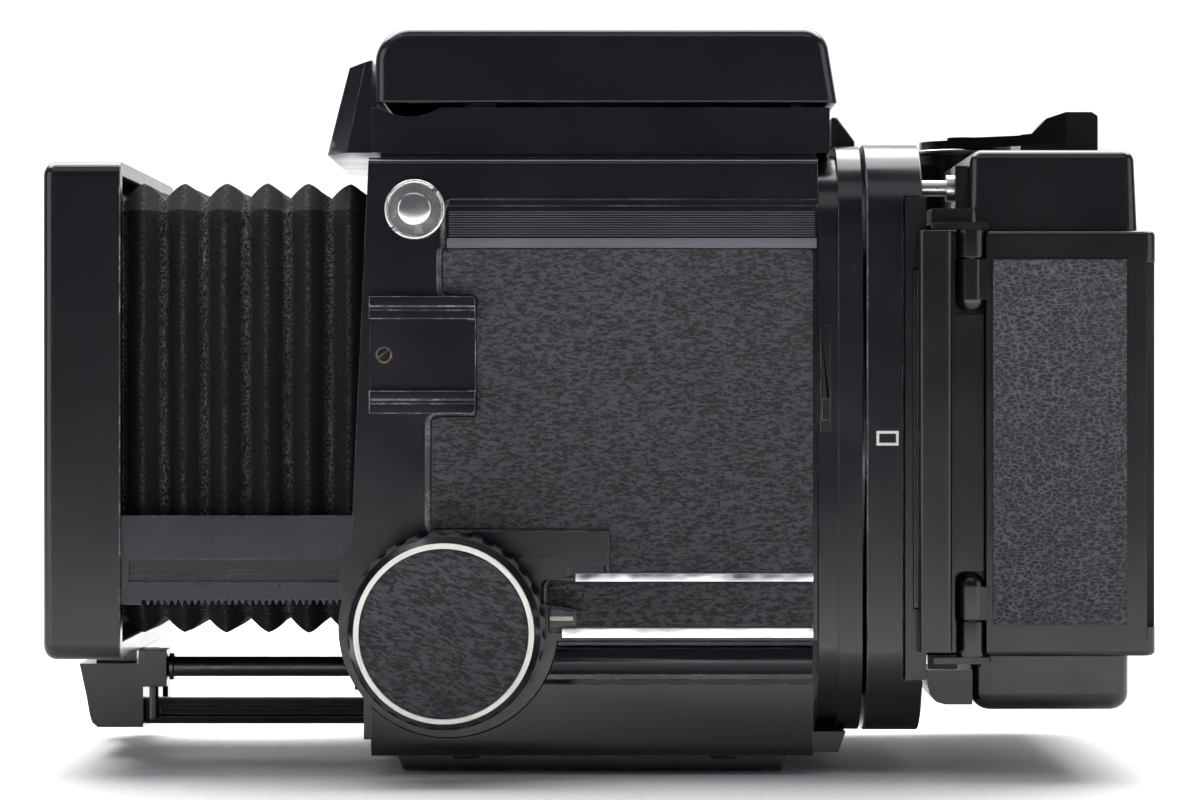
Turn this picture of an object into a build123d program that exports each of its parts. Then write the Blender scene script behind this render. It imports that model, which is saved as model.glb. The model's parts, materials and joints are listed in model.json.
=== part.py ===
from build123d import *
from math import cos, pi, radians, sin
import os

# Medium-format single-lens reflex camera with rack-and-pinion bellows focusing, a folding
# waist-level hood, a revolving back adapter and a roll-film back. Millimetres.
# Origin: mouth of the tripod socket under the foot. -X is the lens side, +X the film side,
# -Y the camera's left side, +Z up. The lens axis lies in the plane y = 0.

# ---------------------------------------------------------------- driving dimensions
AXIS_Z = 62.6              # lens axis, and the axis that the film back revolves about
FOOT_TOP = 3.7
DECK = 25.0                # top of the base cover, underside of the cast body
BODY_FRONT, BODY_REAR = -42.0, 41.3
BODY_TOP = 114.7
BODY_HALF = 47.0           # half width of the cast body
COVER_HALF = 49.5          # half width over the two side covers
CHAMBER_HALF = 39.5
CHAMBER_TOP = 109.0

STANDARD_REAR = -88.2
STANDARD_FRONT = -102.7
STANDARD_HALF = 46.5
STANDARD_BOTTOM, STANDARD_TOP = 21.3, 114.1
THROAT_R = 30.5            # free radius of the lens mount

SHAFT_X, SHAFT_Z = -27.2, 27.6
SHAFT_R = 3.0
RUNNING_FIT = 0.04         # radial clearance of a shaft in its bush
GEAR_MODULE = 0.4
PINION_TEETH = 22
PINION_R = GEAR_MODULE * PINION_TEETH / 2
KNOB_R = 18.2
KNOB_NEAR, KNOB_FAR = 55.0, 70.0
KNOB_SCALLOPS = 28
BOSS_R = 20.3              # round boss of the side cover behind each knob
STUB_R, STUB_END = 7.0, 54.4

RACK_INNER, RACK_OUTER = 42.0, 45.5
RACK_LENGTH = 80.0
RACK_TOP = 48.2

REAR_FRAME_REAR = 49.4
REAR_FRAME_HALF = 51.0
REAR_FRAME_BOTTOM, REAR_FRAME_TOP = 7.7, 117.5
GATE_HALF = 34.9           # half side of the square gate in the rear frame
RING_OUTER, RING_INNER = 50.6, 49.4
CORNER_R = 16.0

ADAPTER_FRONT, ADAPTER_REAR = 50.1, 57.0
ADAPTER_HALF = 52.0
RAIL_REAR = 60.5
CASE_FRONT, CASE_REAR = 57.1, 100.0
CASE_LEFT, CASE_RIGHT = -51.2, 54.0
CASE_BOTTOM, CASE_TOP = 22.6, 100.9
FILM_REAR = 61.0           # rear face of the film gate
DOOR_HINGE = (69.1, -53.9)
KNUCKLE_R = 2.5
SPOOL_X, SPOOL_Y = 84.0, 38.0
SPOOL_FLANGE_R, SPOOL_CORE_R = 12.3, 4.4
SPOOL_BOTTOM, SPOOL_TOP = 30.4, 94.8
LEVER_HUB = (74.0, 18.0)
HUMP_TOP, HUMP_BOTTOM = 115.8, 12.6
HUMP_LEFT = -53.8
HUB_TOP = 119.8            # top of the round boss that the advance lever turns on

FINDER_BOTTOM, FINDER_TOP = 115.8, 124.1
FINDER_HALF = 45.0
LID_HINGE = (-34.4, 132.6)
LID_CORNER_R = 6.6
LID_BOTTOM = 125.1
LID_WALL = 1.6
LID_HALF = 44.8
SIDE_PANEL_HINGE_Y, SIDE_PANEL_HINGE_Z = 39.5, 126.4
SIDE_PANEL_TALL = 37.0
REAR_PANEL_HINGE = (39.6, 125.3)
REAR_PANEL_TALL = 23.0
PANEL = 0.8                # sheet thickness of the hood panels
MAGNIFIER_CENTRE = (12.0, 0.0)

MIRROR_HINGE = (37.5, 100.5)
MIRROR_LENGTH = 76.0
BAFFLE_HINGE = (38.2, 95.0)
BAFFLE_LENGTH = 64.0

PLEATS = 7
BELLOWS_FRONT, BELLOWS_REAR = -96.5, -42.2
PEAK_HALF, VALLEY_HALF = 41.0, 37.6
PEAK_LOW, PEAK_HIGH = 25.7, 110.6
BELLOWS_WALL = 0.7

COCKING_PIVOT = (18.0, 52.0)
RELEASE_BUTTON = (35.0, 11.8)
FLANGE_SCREW_ANGLES = (30, 150, 210, 330)
UNDERSIDE = Plane(origin=(0, 0, 0), x_dir=(1, 0, 0), z_dir=(0, 0, -1))

os.makedirs("parts", exist_ok=True)


# ---------------------------------------------------------------- helpers
def save(piece, name):
    piece.part.label = name
    export_step(piece.part, f"parts/{name}.step")


def block(x, y, z, mode=Mode.ADD):
    """A box between two limits on each axis."""
    with Locations(((x[0] + x[1]) / 2, (y[0] + y[1]) / 2, (z[0] + z[1]) / 2)):
        Box(abs(x[1] - x[0]), abs(y[1] - y[0]), abs(z[1] - z[0]), mode=mode)


def rod(plane, at, start, end, radius, mode=Mode.ADD):
    """A cylinder along the plane's normal, from start to end, about a point of the plane."""
    with BuildSketch(plane.offset(start)) as disc:
        with Locations(at):
            Circle(radius)
    extrude(disc.sketch, amount=end - start, mode=mode)


def across(at, y, radius, mode=Mode.ADD):
    """A cylinder along Y, between two values of y, about (x, z)."""
    rod(Plane.XZ, at, -y[1], -y[0], radius, mode)


def along(at, x, radius, mode=Mode.ADD):
    """A cylinder along X, between two values of x, about (y, z)."""
    rod(Plane.YZ, at, x[0], x[1], radius, mode)


def upright(at, z, radius, mode=Mode.ADD):
    """A cylinder along Z, between two values of z, about (x, y)."""
    rod(Plane.XY, at, z[0], z[1], radius, mode)


def prism(plane, points, depth, mode=Mode.ADD, radius=0):
    """A straight-sided outline with corners of one radius, extruded along the plane's normal."""
    with BuildSketch(plane) as outline:
        with BuildLine():
            Polyline(*points, close=True)
        make_face()
        if radius:
            fillet(outline.vertices(), radius)
    extrude(outline.sketch, amount=depth, mode=mode)


def rounded_plate(x, half, z, radius, mode=Mode.ADD):
    """A plate across the camera, rounded at its four corners."""
    with BuildSketch(Plane.YZ.offset(x[0])) as outline:
        with Locations((0, (z[0] + z[1]) / 2)):
            RectangleRounded(2 * half, z[1] - z[0], radius)
    extrude(outline.sketch, amount=x[1] - x[0], mode=mode)


def side_plane(side, y):
    """The plane of a side face: local x is X, local y is Z, its normal points outwards."""
    if side < 0:
        return Plane.XZ.offset(y)
    return Plane(origin=(0, y, 0), x_dir=(1, 0, 0), z_dir=(0, 1, 0))


def side_points(side, points):
    """Mirror the Z coordinate where the right side's plane runs the other way."""
    return [(x, z if side < 0 else -z) for x, z in points]


def side_prism(side, y, points, depth, mode=Mode.ADD, radius=0):
    prism(side_plane(side, y), side_points(side, points), depth, mode, radius)


def side_y(side, low, high):
    return (low, high) if side > 0 else (-high, -low)


def screw(plane, at, head_from, head_to, radius, slot=0.5):
    """A slotted cheese-head screw, standing along the plane's normal."""
    rod(plane, at, head_from, head_to, radius)
    with BuildSketch(plane.offset(head_to - 0.4)) as cut:
        with Locations(at):
            Rectangle(2 * radius + 1, slot, rotation=35)
    extrude(cut.sketch, amount=1, mode=Mode.SUBTRACT)


# ---------------------------------------------------------------- cast body
def body_shell():
    """The cast mirror box: open in front, at the back and on top."""
    tunnel_rear, tunnel_top = -18.0, 34.0
    channel_rear = 39.5
    with BuildPart() as shell:
        block((BODY_FRONT, BODY_REAR), (-BODY_HALF, BODY_HALF), (DECK + 0.1, BODY_TOP))
        chamber = (-CHAMBER_HALF, CHAMBER_HALF)
        front, rear = (BODY_FRONT, tunnel_rear), (tunnel_rear, BODY_REAR)
        block(front, chamber, (tunnel_top, CHAMBER_TOP), Mode.SUBTRACT)
        block(rear, chamber, (27.5, CHAMBER_TOP), Mode.SUBTRACT)
        block((BODY_FRONT, -40.2), (-40.5, 40.5), (27.0, 109.5), Mode.SUBTRACT)
        block((-35.0, 35.0), (-36.0, 36.0), (CHAMBER_TOP, BODY_TOP), Mode.SUBTRACT)
        block((-37.0, 37.0), (-38.0, 38.0), (112.0, BODY_TOP), Mode.SUBTRACT)
        for side in (-1, 1):
            channel = side_y(side, RACK_INNER - 0.3, RACK_OUTER + 0.3)
            block((BODY_FRONT, channel_rear), channel, (31.2, 48.6), Mode.SUBTRACT)
            across((SHAFT_X, SHAFT_Z), channel, PINION_R + 1.4, Mode.SUBTRACT)
            works = side_y(side, 42.5, BODY_HALF)
            block((-36.0, 38.0), works, (52.0, 108.0), Mode.SUBTRACT)
        across((SHAFT_X, SHAFT_Z), (-BODY_HALF, BODY_HALF), SHAFT_R + 1.0, Mode.SUBTRACT)
        across(MIRROR_HINGE, (-41.2, 41.2), 1.5 + RUNNING_FIT, Mode.SUBTRACT)
        across(BAFFLE_HINGE, (-41.2, 41.2), 1.2 + RUNNING_FIT, Mode.SUBTRACT)
    save(shell, "body_shell")


def side_cover_outline():
    """The side cover's profile: its front edge leans forward and flares into the knob boss."""
    top = BODY_TOP - 0.2
    return [
        (41.2, DECK + 0.2), (41.2, top), (-41.9, top), (-44.3, 58.6), (-45.1, 43.0),
        (-47.2, 39.5), (-47.4, 35.0), (-44.0, DECK + 0.2),
    ]


def side_cover(side, name):
    """One outer side cover, with the boss and bearing stub for the focusing shaft."""
    with BuildPart() as cover:
        side_prism(side, BODY_HALF, side_cover_outline(), COVER_HALF - BODY_HALF)
        top_edges = cover.edges().filter_by(Axis.X).group_by(Axis.Z)[-1]
        fillet(top_edges.sort_by(Axis.Y)[0 if side < 0 else -1], 1.6)
        shaft = (SHAFT_X, SHAFT_Z)
        across(shaft, side_y(side, BODY_HALF, COVER_HALF), BOSS_R)
        across(shaft, side_y(side, COVER_HALF, STUB_END), STUB_R)
        across(shaft, side_y(side, BODY_HALF, STUB_END), 5.05, Mode.SUBTRACT)
        block((-27.0, 41.2), side_y(side, COVER_HALF, COVER_HALF + 0.7), (105.6, 106.7))
        if side < 0:
            panel = side_y(side, COVER_HALF, COVER_HALF + 1.2)
            block((-22.7, 2.6), panel, (39.2, 45.5))
            with BuildSketch(side_plane(side, COVER_HALF)) as bump:
                with Locations((-9.7, 38.6)):
                    SlotOverall(9.6, 4.2)
            extrude(bump.sketch, amount=2.2)
        else:
            across(COCKING_PIVOT, side_y(side, COVER_HALF, 54.2), 3.5)
    save(cover, name)


def side_leatherette():
    """Grained covering on both sides; the left one is cut round the shoe and the panel."""
    thick, corner = 0.4, 1.0
    lower_band = [(-8.7, 27.8), (40.3, 27.8), (40.3, 35.9), (-8.7, 35.9)]
    left = [
        (40.3, 97.7), (-28.1, 97.7), (-28.1, 89.2), (-21.8, 89.2), (-21.8, 66.6),
        (-30.2, 66.6), (-30.2, 45.9), (2.9, 45.9), (2.9, 37.9), (40.3, 37.9),
    ]
    right = [
        (40.3, 97.7), (-34.0, 97.7), (-36.0, 50.5), (-21.8, 50.5), (-16.0, 48.0), (-8.7, 42.0),
        (-5.0, 37.9), (40.3, 37.9),
    ]
    with BuildPart() as leather:
        side_prism(-1, COVER_HALF, left, thick, radius=corner)
        side_prism(1, COVER_HALF, right, thick, radius=corner)
        across(COCKING_PIVOT, (COVER_HALF, COVER_HALF + thick), 3.6, Mode.SUBTRACT)
        for side in (-1, 1):
            side_prism(side, COVER_HALF, lower_band, thick, radius=corner)
    save(leather, "side_leatherette")


def nameplates():
    """A blank ribbed band with a plain bar under it, one on each side."""
    rib_pitch = 0.9
    with BuildPart() as plates:
        for side in (-1, 1):
            block((-27.4, 41.0), side_y(side, COVER_HALF, COVER_HALF + 0.4), (97.8, 105.4))
            block((-27.4, 41.0), side_y(side, COVER_HALF, COVER_HALF + 0.8), (97.9, 99.7))
            for rib in range(6):
                low = 100.2 + rib * rib_pitch
                band = side_y(side, COVER_HALF, COVER_HALF + 0.7)
                block((-27.0, 40.7), band, (low, low + 0.45))
    save(plates, "nameplates")


def trim_strips():
    """Bright strips above and below the lower leatherette band."""
    with BuildPart() as strips:
        for side in (-1, 1):
            face = side_y(side, COVER_HALF, COVER_HALF + 0.8)
            block((-3.7, 40.4), face, (36.1, 37.7))
            block((-6.2, 40.4), face, (25.7, 27.6))
    save(strips, "trim_strips")


def strap_lugs():
    """Two mushroom studs that the neck strap's hooks grip, each in a dished, notched washer."""
    centre = (-33.3, 104.9)
    rim, dish, dish_r = COVER_HALF + 1.6, COVER_HALF + 1.15, 4.9
    neck_end, head_end = COVER_HALF + 2.4, COVER_HALF + 3.4
    with BuildPart() as lugs:
        for side in (-1, 1):
            across(centre, side_y(side, COVER_HALF, rim), 5.57)
            across(centre, side_y(side, dish, rim), dish_r, Mode.SUBTRACT)
            across(centre, side_y(side, dish, neck_end), 2.4)
            across(centre, side_y(side, neck_end, head_end), 3.2)
            for angle in (43, 223):
                notch = (centre[0] + 5.3 * sin(radians(angle)), centre[1] + 5.3 * cos(radians(angle)))
                across(notch, side_y(side, COVER_HALF + 0.8, rim + 0.1), 0.55, Mode.SUBTRACT)
    save(lugs, "strap_lugs")


def accessory_shoe():
    """A cold shoe: an 18.6 mm foot slides in along X, under two lips."""
    x = (-41.6, -22.0)
    low, high = 67.2, 88.8
    middle = (low + high) / 2
    inner_half, slot_half = 9.3, 6.6
    floor, lip, top = COVER_HALF + 0.8, COVER_HALF + 3.0, COVER_HALF + 4.2
    with BuildPart() as shoe:
        block(x, (-top, -COVER_HALF), (low, high))
        groove = (middle - inner_half, middle + inner_half)
        block((x[0] - 1, x[1] - 1.4), (-lip, -floor), groove, Mode.SUBTRACT)
        slot = (middle - slot_half, middle + slot_half)
        block((x[0] - 1, x[1] + 1), (-top, -floor), slot, Mode.SUBTRACT)
        for z in (low + 2.2, high - 2.2):
            block(x, (-top - 1, -top + 0.35), (z - 0.35, z + 0.35), Mode.SUBTRACT)
        corners = shoe.edges().filter_by(Axis.Y).group_by(Axis.X)[-1]
        fillet(corners.group_by(Axis.Z)[0] + corners.group_by(Axis.Z)[-1], 1.0)
        across((-39.0, middle), (-floor, -COVER_HALF), 1.4, Mode.SUBTRACT)
    save(shoe, "accessory_shoe")


def body_fasteners():
    """The shoe's screw, the base screws, the pivot cap screw and the rod stop pin."""
    with BuildPart() as screws:
        screw(Plane.XZ, (-39.0, 78.0), COVER_HALF, COVER_HALF + 1.1, 1.35)
        screw(side_plane(1, 0), (COCKING_PIVOT[0], -COCKING_PIVOT[1]), 54.2, 55.2, 4.6, 0.9)
        for y in (-42.0, 42.0):
            for x in (-24.0, 24.0):
                screw(UNDERSIDE, (x, -y), -FOOT_TOP, -FOOT_TOP + 0.9, 2.4)
        along((-24.0, 15.5), (-46.0, -41.5), 1.3)
    save(screws, "body_fasteners")


# ---------------------------------------------------------------- base
def base_cover():
    """The housing under the body, open on top; its flanks have a roll and a groove above a flat."""
    x = (-41.5, 40.4)
    flank = [
        (48.0, DECK), (48.0, 24.2), (48.8, 23.8), (49.3, 22.5), (49.4, 21.0), (49.1, 19.7),
        (48.5, 18.9), (48.5, 17.9), (49.0, 17.1), (48.7, 5.6), (47.5, FOOT_TOP),
    ]
    profile = flank + [(-y, z) for y, z in reversed(flank)]
    with BuildPart() as base:
        prism(Plane.YZ.offset(x[0]), profile, x[1] - x[0])
        block((x[0] + 2, x[1] - 2), (-46.8, 46.8), (FOOT_TOP + 2, DECK), Mode.SUBTRACT)
        for side in (-1, 1):
            across((SHAFT_X, SHAFT_Z), side_y(side, 46.0, 50.0), BOSS_R + 0.2, Mode.SUBTRACT)
        block((x[0], x[0] + 2), (-14.0, -4.4), (13.4, 22.4), Mode.SUBTRACT)
        block((x[0], x[0] + 2), (-11.5, -8.5), (7.0, 13.4), Mode.SUBTRACT)
        block((x[0], x[0] + 2), (-2.6, 2.6), (5.7, 11.4), Mode.SUBTRACT)
        upright((0, 0), (FOOT_TOP, FOOT_TOP + 2), 7.05, Mode.SUBTRACT)
        block((-43.1, x[0]), (-44.0, -28.0), (6.4, 14.4))
        tail = [(x[1], FOOT_TOP), (45.6, FOOT_TOP), (47.0, 7.6), (x[1], 7.6)]
        prism(Plane.XZ.offset(-40.0), tail, 80.0)
    save(base, "base_cover")


def tripod_foot():
    """The plate that the camera stands on, with sloping ends."""
    half = 38.0
    profile = [(-36.0, 0.0), (35.0, 0.0), (36.2, FOOT_TOP), (-37.5, FOOT_TOP)]
    with BuildPart() as foot:
        prism(Plane.XZ.offset(-half), profile, 2 * half)
        upright((0, 0), (0, FOOT_TOP), 7.05, Mode.SUBTRACT)
    save(foot, "tripod_foot")


def tripod_bushing():
    """A steel bushing with a blind 3/8 inch tripod thread, drawn at its tapping size."""
    depth, cap = 5.0, 0.6
    with BuildPart() as bushing:
        upright((0, 0), (0, depth + cap), 7.0)
        upright((0, 0), (0, depth), 3.97, Mode.SUBTRACT)
    save(bushing, "tripod_bushing")


# ---------------------------------------------------------------- rear of the body
def rear_frame():
    """The frame behind the body, with the round groove that the adapter turns in."""
    z = (REAR_FRAME_BOTTOM, REAR_FRAME_TOP)
    ridge = 45.0
    with BuildPart() as rear:
        front_z = (z[0] + 0.5, FINDER_BOTTOM - 0.1)
        rounded_plate((BODY_REAR + 0.05, ridge), REAR_FRAME_HALF - 0.5, front_z, CORNER_R)
        rounded_plate((ridge, REAR_FRAME_REAR), REAR_FRAME_HALF, z, CORNER_R)
        gate = (AXIS_Z - GATE_HALF, AXIS_Z + GATE_HALF)
        block((BODY_REAR, REAR_FRAME_REAR), (-GATE_HALF, GATE_HALF), gate, Mode.SUBTRACT)
        with BuildSketch(Plane.YZ.offset(REAR_FRAME_REAR - 1.6)) as groove:
            with Locations((0, AXIS_Z)):
                Circle(RING_OUTER + 0.1)
                Circle(RING_INNER - 0.1, mode=Mode.SUBTRACT)
        extrude(groove.sketch, amount=2, mode=Mode.SUBTRACT)
    save(rear, "rear_frame")


def adapter_catch():
    """The sliding catch on the left of the rear frame."""
    with BuildPart() as catch:
        block((41.6, 43.5), (-51.5, -50.5), (64.0, 83.6))
        block((41.9, 43.2), (-51.9, -51.5), (66.0, 70.0))
    save(catch, "adapter_catch")


def focusing_screen():
    with BuildPart() as screen:
        block((-36.8, 36.8), (-37.8, 37.8), (112.1, 113.6))
    save(screen, "focusing_screen")


def screen_frame():
    """The spring frame that holds the focusing screen down."""
    with BuildPart() as frame:
        block((-36.8, 36.8), (-37.8, 37.8), (113.6, BODY_TOP))
        block((-34.0, 34.0), (-35.0, 35.0), (113.6, BODY_TOP), Mode.SUBTRACT)
    save(frame, "screen_frame")


def shaft_bushes():
    """Two flanged bronze bushes in the side covers' stubs."""
    shaft = (SHAFT_X, SHAFT_Z)
    with BuildPart() as bushes:
        for side in (-1, 1):
            across(shaft, side_y(side, BODY_HALF, STUB_END), 5.0)
            across(shaft, side_y(side, BODY_HALF, STUB_END), SHAFT_R + RUNNING_FIT, Mode.SUBTRACT)
    save(bushes, "shaft_bushes")


# ---------------------------------------------------------------- waist-level finder
def finder_frame():
    """The hood's base, with the scallop that clears the lid's front wall and all hinge lugs."""
    with BuildPart() as frame:
        block((-41.7, 43.7), (-FINDER_HALF, FINDER_HALF), (FINDER_BOTTOM, FINDER_TOP))
        block((-40.0, 41.2), (-43.5, 43.5), (BODY_TOP + 0.05, FINDER_BOTTOM))
        block((-35.5, 36.5), (-37.4, 37.4), (BODY_TOP, FINDER_TOP), Mode.SUBTRACT)
        across(LID_HINGE, (-50, 50), 10.2, Mode.SUBTRACT)
        arm = [
            (LID_HINGE[0], 130.4), (-24.0, 130.4), (-24.0, FINDER_TOP - 1), (-18.5, FINDER_TOP - 1),
            (-18.5, 133.0), (-21.0, 134.8), (LID_HINGE[0], 134.8),
        ]
        for side in (-1, 1):
            side_prism(side, 41.4, arm, 1.2)
            arm_y = side_y(side, 41.4, 42.6)
            across(LID_HINGE, arm_y, 2.6)
            across(LID_HINGE, arm_y, 1.2 + RUNNING_FIT, Mode.SUBTRACT)
            for x in ((-24.5, -22.6), (36.6, 38.4)):
                lug = side_y(side, SIDE_PANEL_HINGE_Y - 1.2, SIDE_PANEL_HINGE_Y + 1.2)
                block(x, lug, (FINDER_TOP - 1, SIDE_PANEL_HINGE_Z + 1.0))
            pin = (side * SIDE_PANEL_HINGE_Y, SIDE_PANEL_HINGE_Z)
            along(pin, (-23.0, 37.0), 0.6)
            lug = side_y(side, 35.2, 37.0)
            x, z = REAR_PANEL_HINGE
            block((x - 1.0, x + 1.2), lug, (FINDER_TOP - 1, z + 1.0))
        across(REAR_PANEL_HINGE, (-36.0, 36.0), 0.5)
    save(frame, "finder_frame")


def finder_nose():
    """The wedge in front of the hood; its flanks are cut back by planes that lean to the rear."""
    half, tip_half, tip = 40.0, 30.0, -52.0
    rear, bottom, cut_height = -41.75, FINDER_BOTTOM + 0.2, 20.0
    profile = [(rear, bottom), (-50.6, bottom), (-46.2, 132.2), (rear, 133.4)]
    with BuildPart() as nose:
        prism(Plane.XZ.offset(-half), profile, 2 * half)
        for side in (-1, 1):
            for z, start in ((bottom, rear - 4.9), (bottom + cut_height, rear - 0.65)):
                with BuildSketch(Plane.XY.offset(z)):
                    with BuildLine():
                        Polyline((start, side * half), (tip, side * half), (tip, side * tip_half), close=True)
                    make_face()
            loft(mode=Mode.SUBTRACT)
    save(nose, "finder_nose")


def finder_latch():
    """The sliding catch behind the hood that holds it to the body."""
    profile = [(44.9, 117.55), (49.3, 117.55), (49.3, 118.8), (45.9, 123.4), (44.9, 123.4)]
    with BuildPart() as latch:
        prism(Plane.XZ.offset(-30.0), profile, 60.0)
    save(latch, "finder_latch")


def lid_outline(wall):
    """Half-closed profile of the lid, wall millimetres inside its outer face."""
    x, z = LID_HINGE
    r = LID_CORNER_R - wall
    top, bottom = z + r, LID_BOTTOM - (1 if wall else 0)
    rear_top, rear_bottom = 43.6 - wall, 45.2 - wall
    with BuildLine() as outline:
        Line((x - r, bottom), (x - r, z))
        ThreePointArc((x - r, z), (x - r * cos(pi / 4), z + r * sin(pi / 4)), (x, top))
        Line((x, top), (39.2, top))
        ThreePointArc((39.2, top), (42.3 - wall, top - 1.5), (rear_top, top - 4.4))
        Line((rear_top, top - 4.4), (rear_bottom, bottom))
        Line((rear_bottom, bottom), (x - r, bottom))
    return outline


def hood_lid():
    """The hood's lid: a pressed cap whose rounded front edge turns about its own hinge."""
    pin_inner = 41.3
    with BuildPart() as lid:
        with BuildSketch(Plane.XZ.offset(-LID_HALF)) as outer:
            add(lid_outline(0).line)
            make_face()
        extrude(outer.sketch, amount=2 * LID_HALF)
        crown = lid.edges().filter_by(Axis.X).group_by(Axis.Z)[-1]
        fillet(crown, 2.6)
        with BuildSketch(Plane.XZ.offset(-LID_HALF + LID_WALL)) as inner:
            add(lid_outline(LID_WALL).line)
            make_face()
        extrude(inner.sketch, amount=2 * (LID_HALF - LID_WALL), mode=Mode.SUBTRACT)
        for side in (-1, 1):
            across(LID_HINGE, side_y(side, pin_inner, LID_HALF - 0.5), 1.2)
    save(lid, "hood_lid")


def magnifier_frame():
    """The magnifier's carrier, stowed flat against the inside of the lid."""
    z = (132.2, 134.4)
    with BuildPart() as frame:
        block((-12.0, 37.0), (-20.0, 20.0), z)
        upright(MAGNIFIER_CENTRE, z, 16.1, Mode.SUBTRACT)
        for y in (-17.0, 17.0):
            block((33.0, 37.0), (y - 2.5, y + 2.5), (z[1], 137.5))
    save(frame, "magnifier_frame")


def magnifier_lens():
    """A plano-convex lens, flat side down."""
    flat, crown, curvature = 132.4, 136.2, 45.0
    with BuildPart() as lens:
        upright(MAGNIFIER_CENTRE, (flat, crown), 16.0)
        with Locations((*MAGNIFIER_CENTRE, crown - curvature)):
            Sphere(curvature, mode=Mode.INTERSECT)
    save(lens, "magnifier_lens")


def hood_side(side, name):
    """A side panel of the hood, folded flat; its front corner is cut to clear the magnifier."""
    y = SIDE_PANEL_HINGE_Y
    x = (-22.0, 36.0)
    tall = SIDE_PANEL_TALL
    outline = [
        (x[0], side * y), (x[1], side * y), (x[1], side * (y - tall)), (-5.0, side * (y - tall)),
        (x[0], side * (y - 16.0)),
    ]
    with BuildPart() as panel:
        prism(Plane.XY.offset(SIDE_PANEL_HINGE_Z + 0.4), outline, PANEL)
        along((side * y, SIDE_PANEL_HINGE_Z), x, 1.2)
        along((side * y, SIDE_PANEL_HINGE_Z), x, 0.6 + RUNNING_FIT, Mode.SUBTRACT)
    save(panel, name)


def hood_rear_panel():
    """The rear panel of the hood, which lies under the two side panels when folded."""
    x, z = REAR_PANEL_HINGE
    half = 34.6
    tip = half - REAR_PANEL_TALL + 2
    outline = [(x, -half), (x, half), (x - REAR_PANEL_TALL, tip), (x - REAR_PANEL_TALL, -tip)]
    with BuildPart() as panel:
        prism(Plane.XY.offset(z - PANEL), outline, PANEL)
        across(REAR_PANEL_HINGE, (-half, half), 1.0)
        across(REAR_PANEL_HINGE, (-half, half), 0.5 + RUNNING_FIT, Mode.SUBTRACT)
    save(panel, "hood_rear_panel")


# ---------------------------------------------------------------- mirror
def mirror_plane(offset):
    """A plane along the resting mirror: local x is Y, local y runs down the mirror."""
    slope = 1 / 2 ** 0.5
    normal = Vector(-slope, 0, slope)
    origin = Vector(MIRROR_HINGE[0], 0, MIRROR_HINGE[1]) + normal * offset
    return Plane(origin=origin, x_dir=(0, -1, 0), z_dir=normal)


def mirror_box(width, span, offset, thick):
    """A plate along the resting mirror, span being its start and end below the hinge."""
    plane = mirror_plane(offset)
    down = plane.to_local_coords(Vector(MIRROR_HINGE[0] - 1, 0, MIRROR_HINGE[1] - 1)).Y > 0
    middle = (span[0] + span[1]) / 2 * (1 if down else -1)
    with BuildSketch(plane) as outline:
        with Locations((0, middle)):
            Rectangle(width, span[1] - span[0])
    extrude(outline.sketch, amount=thick)


def mirror_carrier():
    """The mirror's carrier, turning on the cross shaft behind the screen."""
    with BuildPart() as carrier:
        mirror_box(73.0, (0.0, MIRROR_LENGTH), -0.8, 1.6)
        across(MIRROR_HINGE, (-37.0, 37.0), 2.2)
        across(MIRROR_HINGE, (-41.0, 41.0), 1.5)
    save(carrier, "mirror_carrier")


def mirror_glass():
    with BuildPart() as glass:
        mirror_box(70.0, (3.5, MIRROR_LENGTH - 1.0), 0.8, 1.6)
    save(glass, "mirror_glass")


def light_baffle():
    """The flap that keeps light from the film while the mirror is down."""
    x, z = BAFFLE_HINGE
    with BuildPart() as baffle:
        block((x - 0.6, x + 0.6), (-37.5, 37.5), (z - BAFFLE_LENGTH, z))
        across(BAFFLE_HINGE, (-37.0, 37.0), 1.6)
        across(BAFFLE_HINGE, (-41.0, 41.0), 1.2)
        block((x - 1.4, x - 0.6), (-34.0, 34.0), (z - BAFFLE_LENGTH + 3, z - BAFFLE_LENGTH + 6))
    save(baffle, "light_baffle")


# ---------------------------------------------------------------- focusing drive
def focus_shaft():
    with BuildPart() as shaft:
        across((SHAFT_X, SHAFT_Z), (-KNOB_FAR + 2.5, KNOB_FAR - 2.5), SHAFT_R)
    save(shaft, "focus_shaft")


def tooth_profile(height):
    """Half width of a straight-flanked tooth at a height above its pitch line."""
    backlash = 0.06
    return pi * GEAR_MODULE / 4 - backlash - height * 0.36


def focus_pinions():
    """Two pinions that drive the racks of the front standard."""
    tip, root = GEAR_MODULE, -1.25 * GEAR_MODULE
    with BuildPart() as pinions:
        for side in (-1, 1):
            y = side_y(side, RACK_INNER, RACK_OUTER)
            with BuildSketch(Plane.XZ.offset(-y[1])) as gear:
                with Locations((SHAFT_X, SHAFT_Z)):
                    Circle(PINION_R + root)
                for tooth in range(PINION_TEETH):
                    turn = 360 / PINION_TEETH * tooth
                    with BuildLine():
                        corners = [
                            (-tooth_profile(root) * 1.02, PINION_R + root - 0.2),
                            (-tooth_profile(tip), PINION_R + tip),
                            (tooth_profile(tip), PINION_R + tip),
                            (tooth_profile(root) * 1.02, PINION_R + root - 0.2),
                        ]
                        Polyline(*[turned(c, turn) for c in corners], close=True)
                    make_face()
            extrude(gear.sketch, amount=y[1] - y[0])
            across((SHAFT_X, SHAFT_Z), y, SHAFT_R, Mode.SUBTRACT)
    save(pinions, "focus_pinions")


def turned(point, degrees):
    """A point given from the focusing shaft, turned about it."""
    c, s = cos(radians(degrees)), sin(radians(degrees))
    return (SHAFT_X + point[0] * c - point[1] * s, SHAFT_Z + point[0] * s + point[1] * c)


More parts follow.
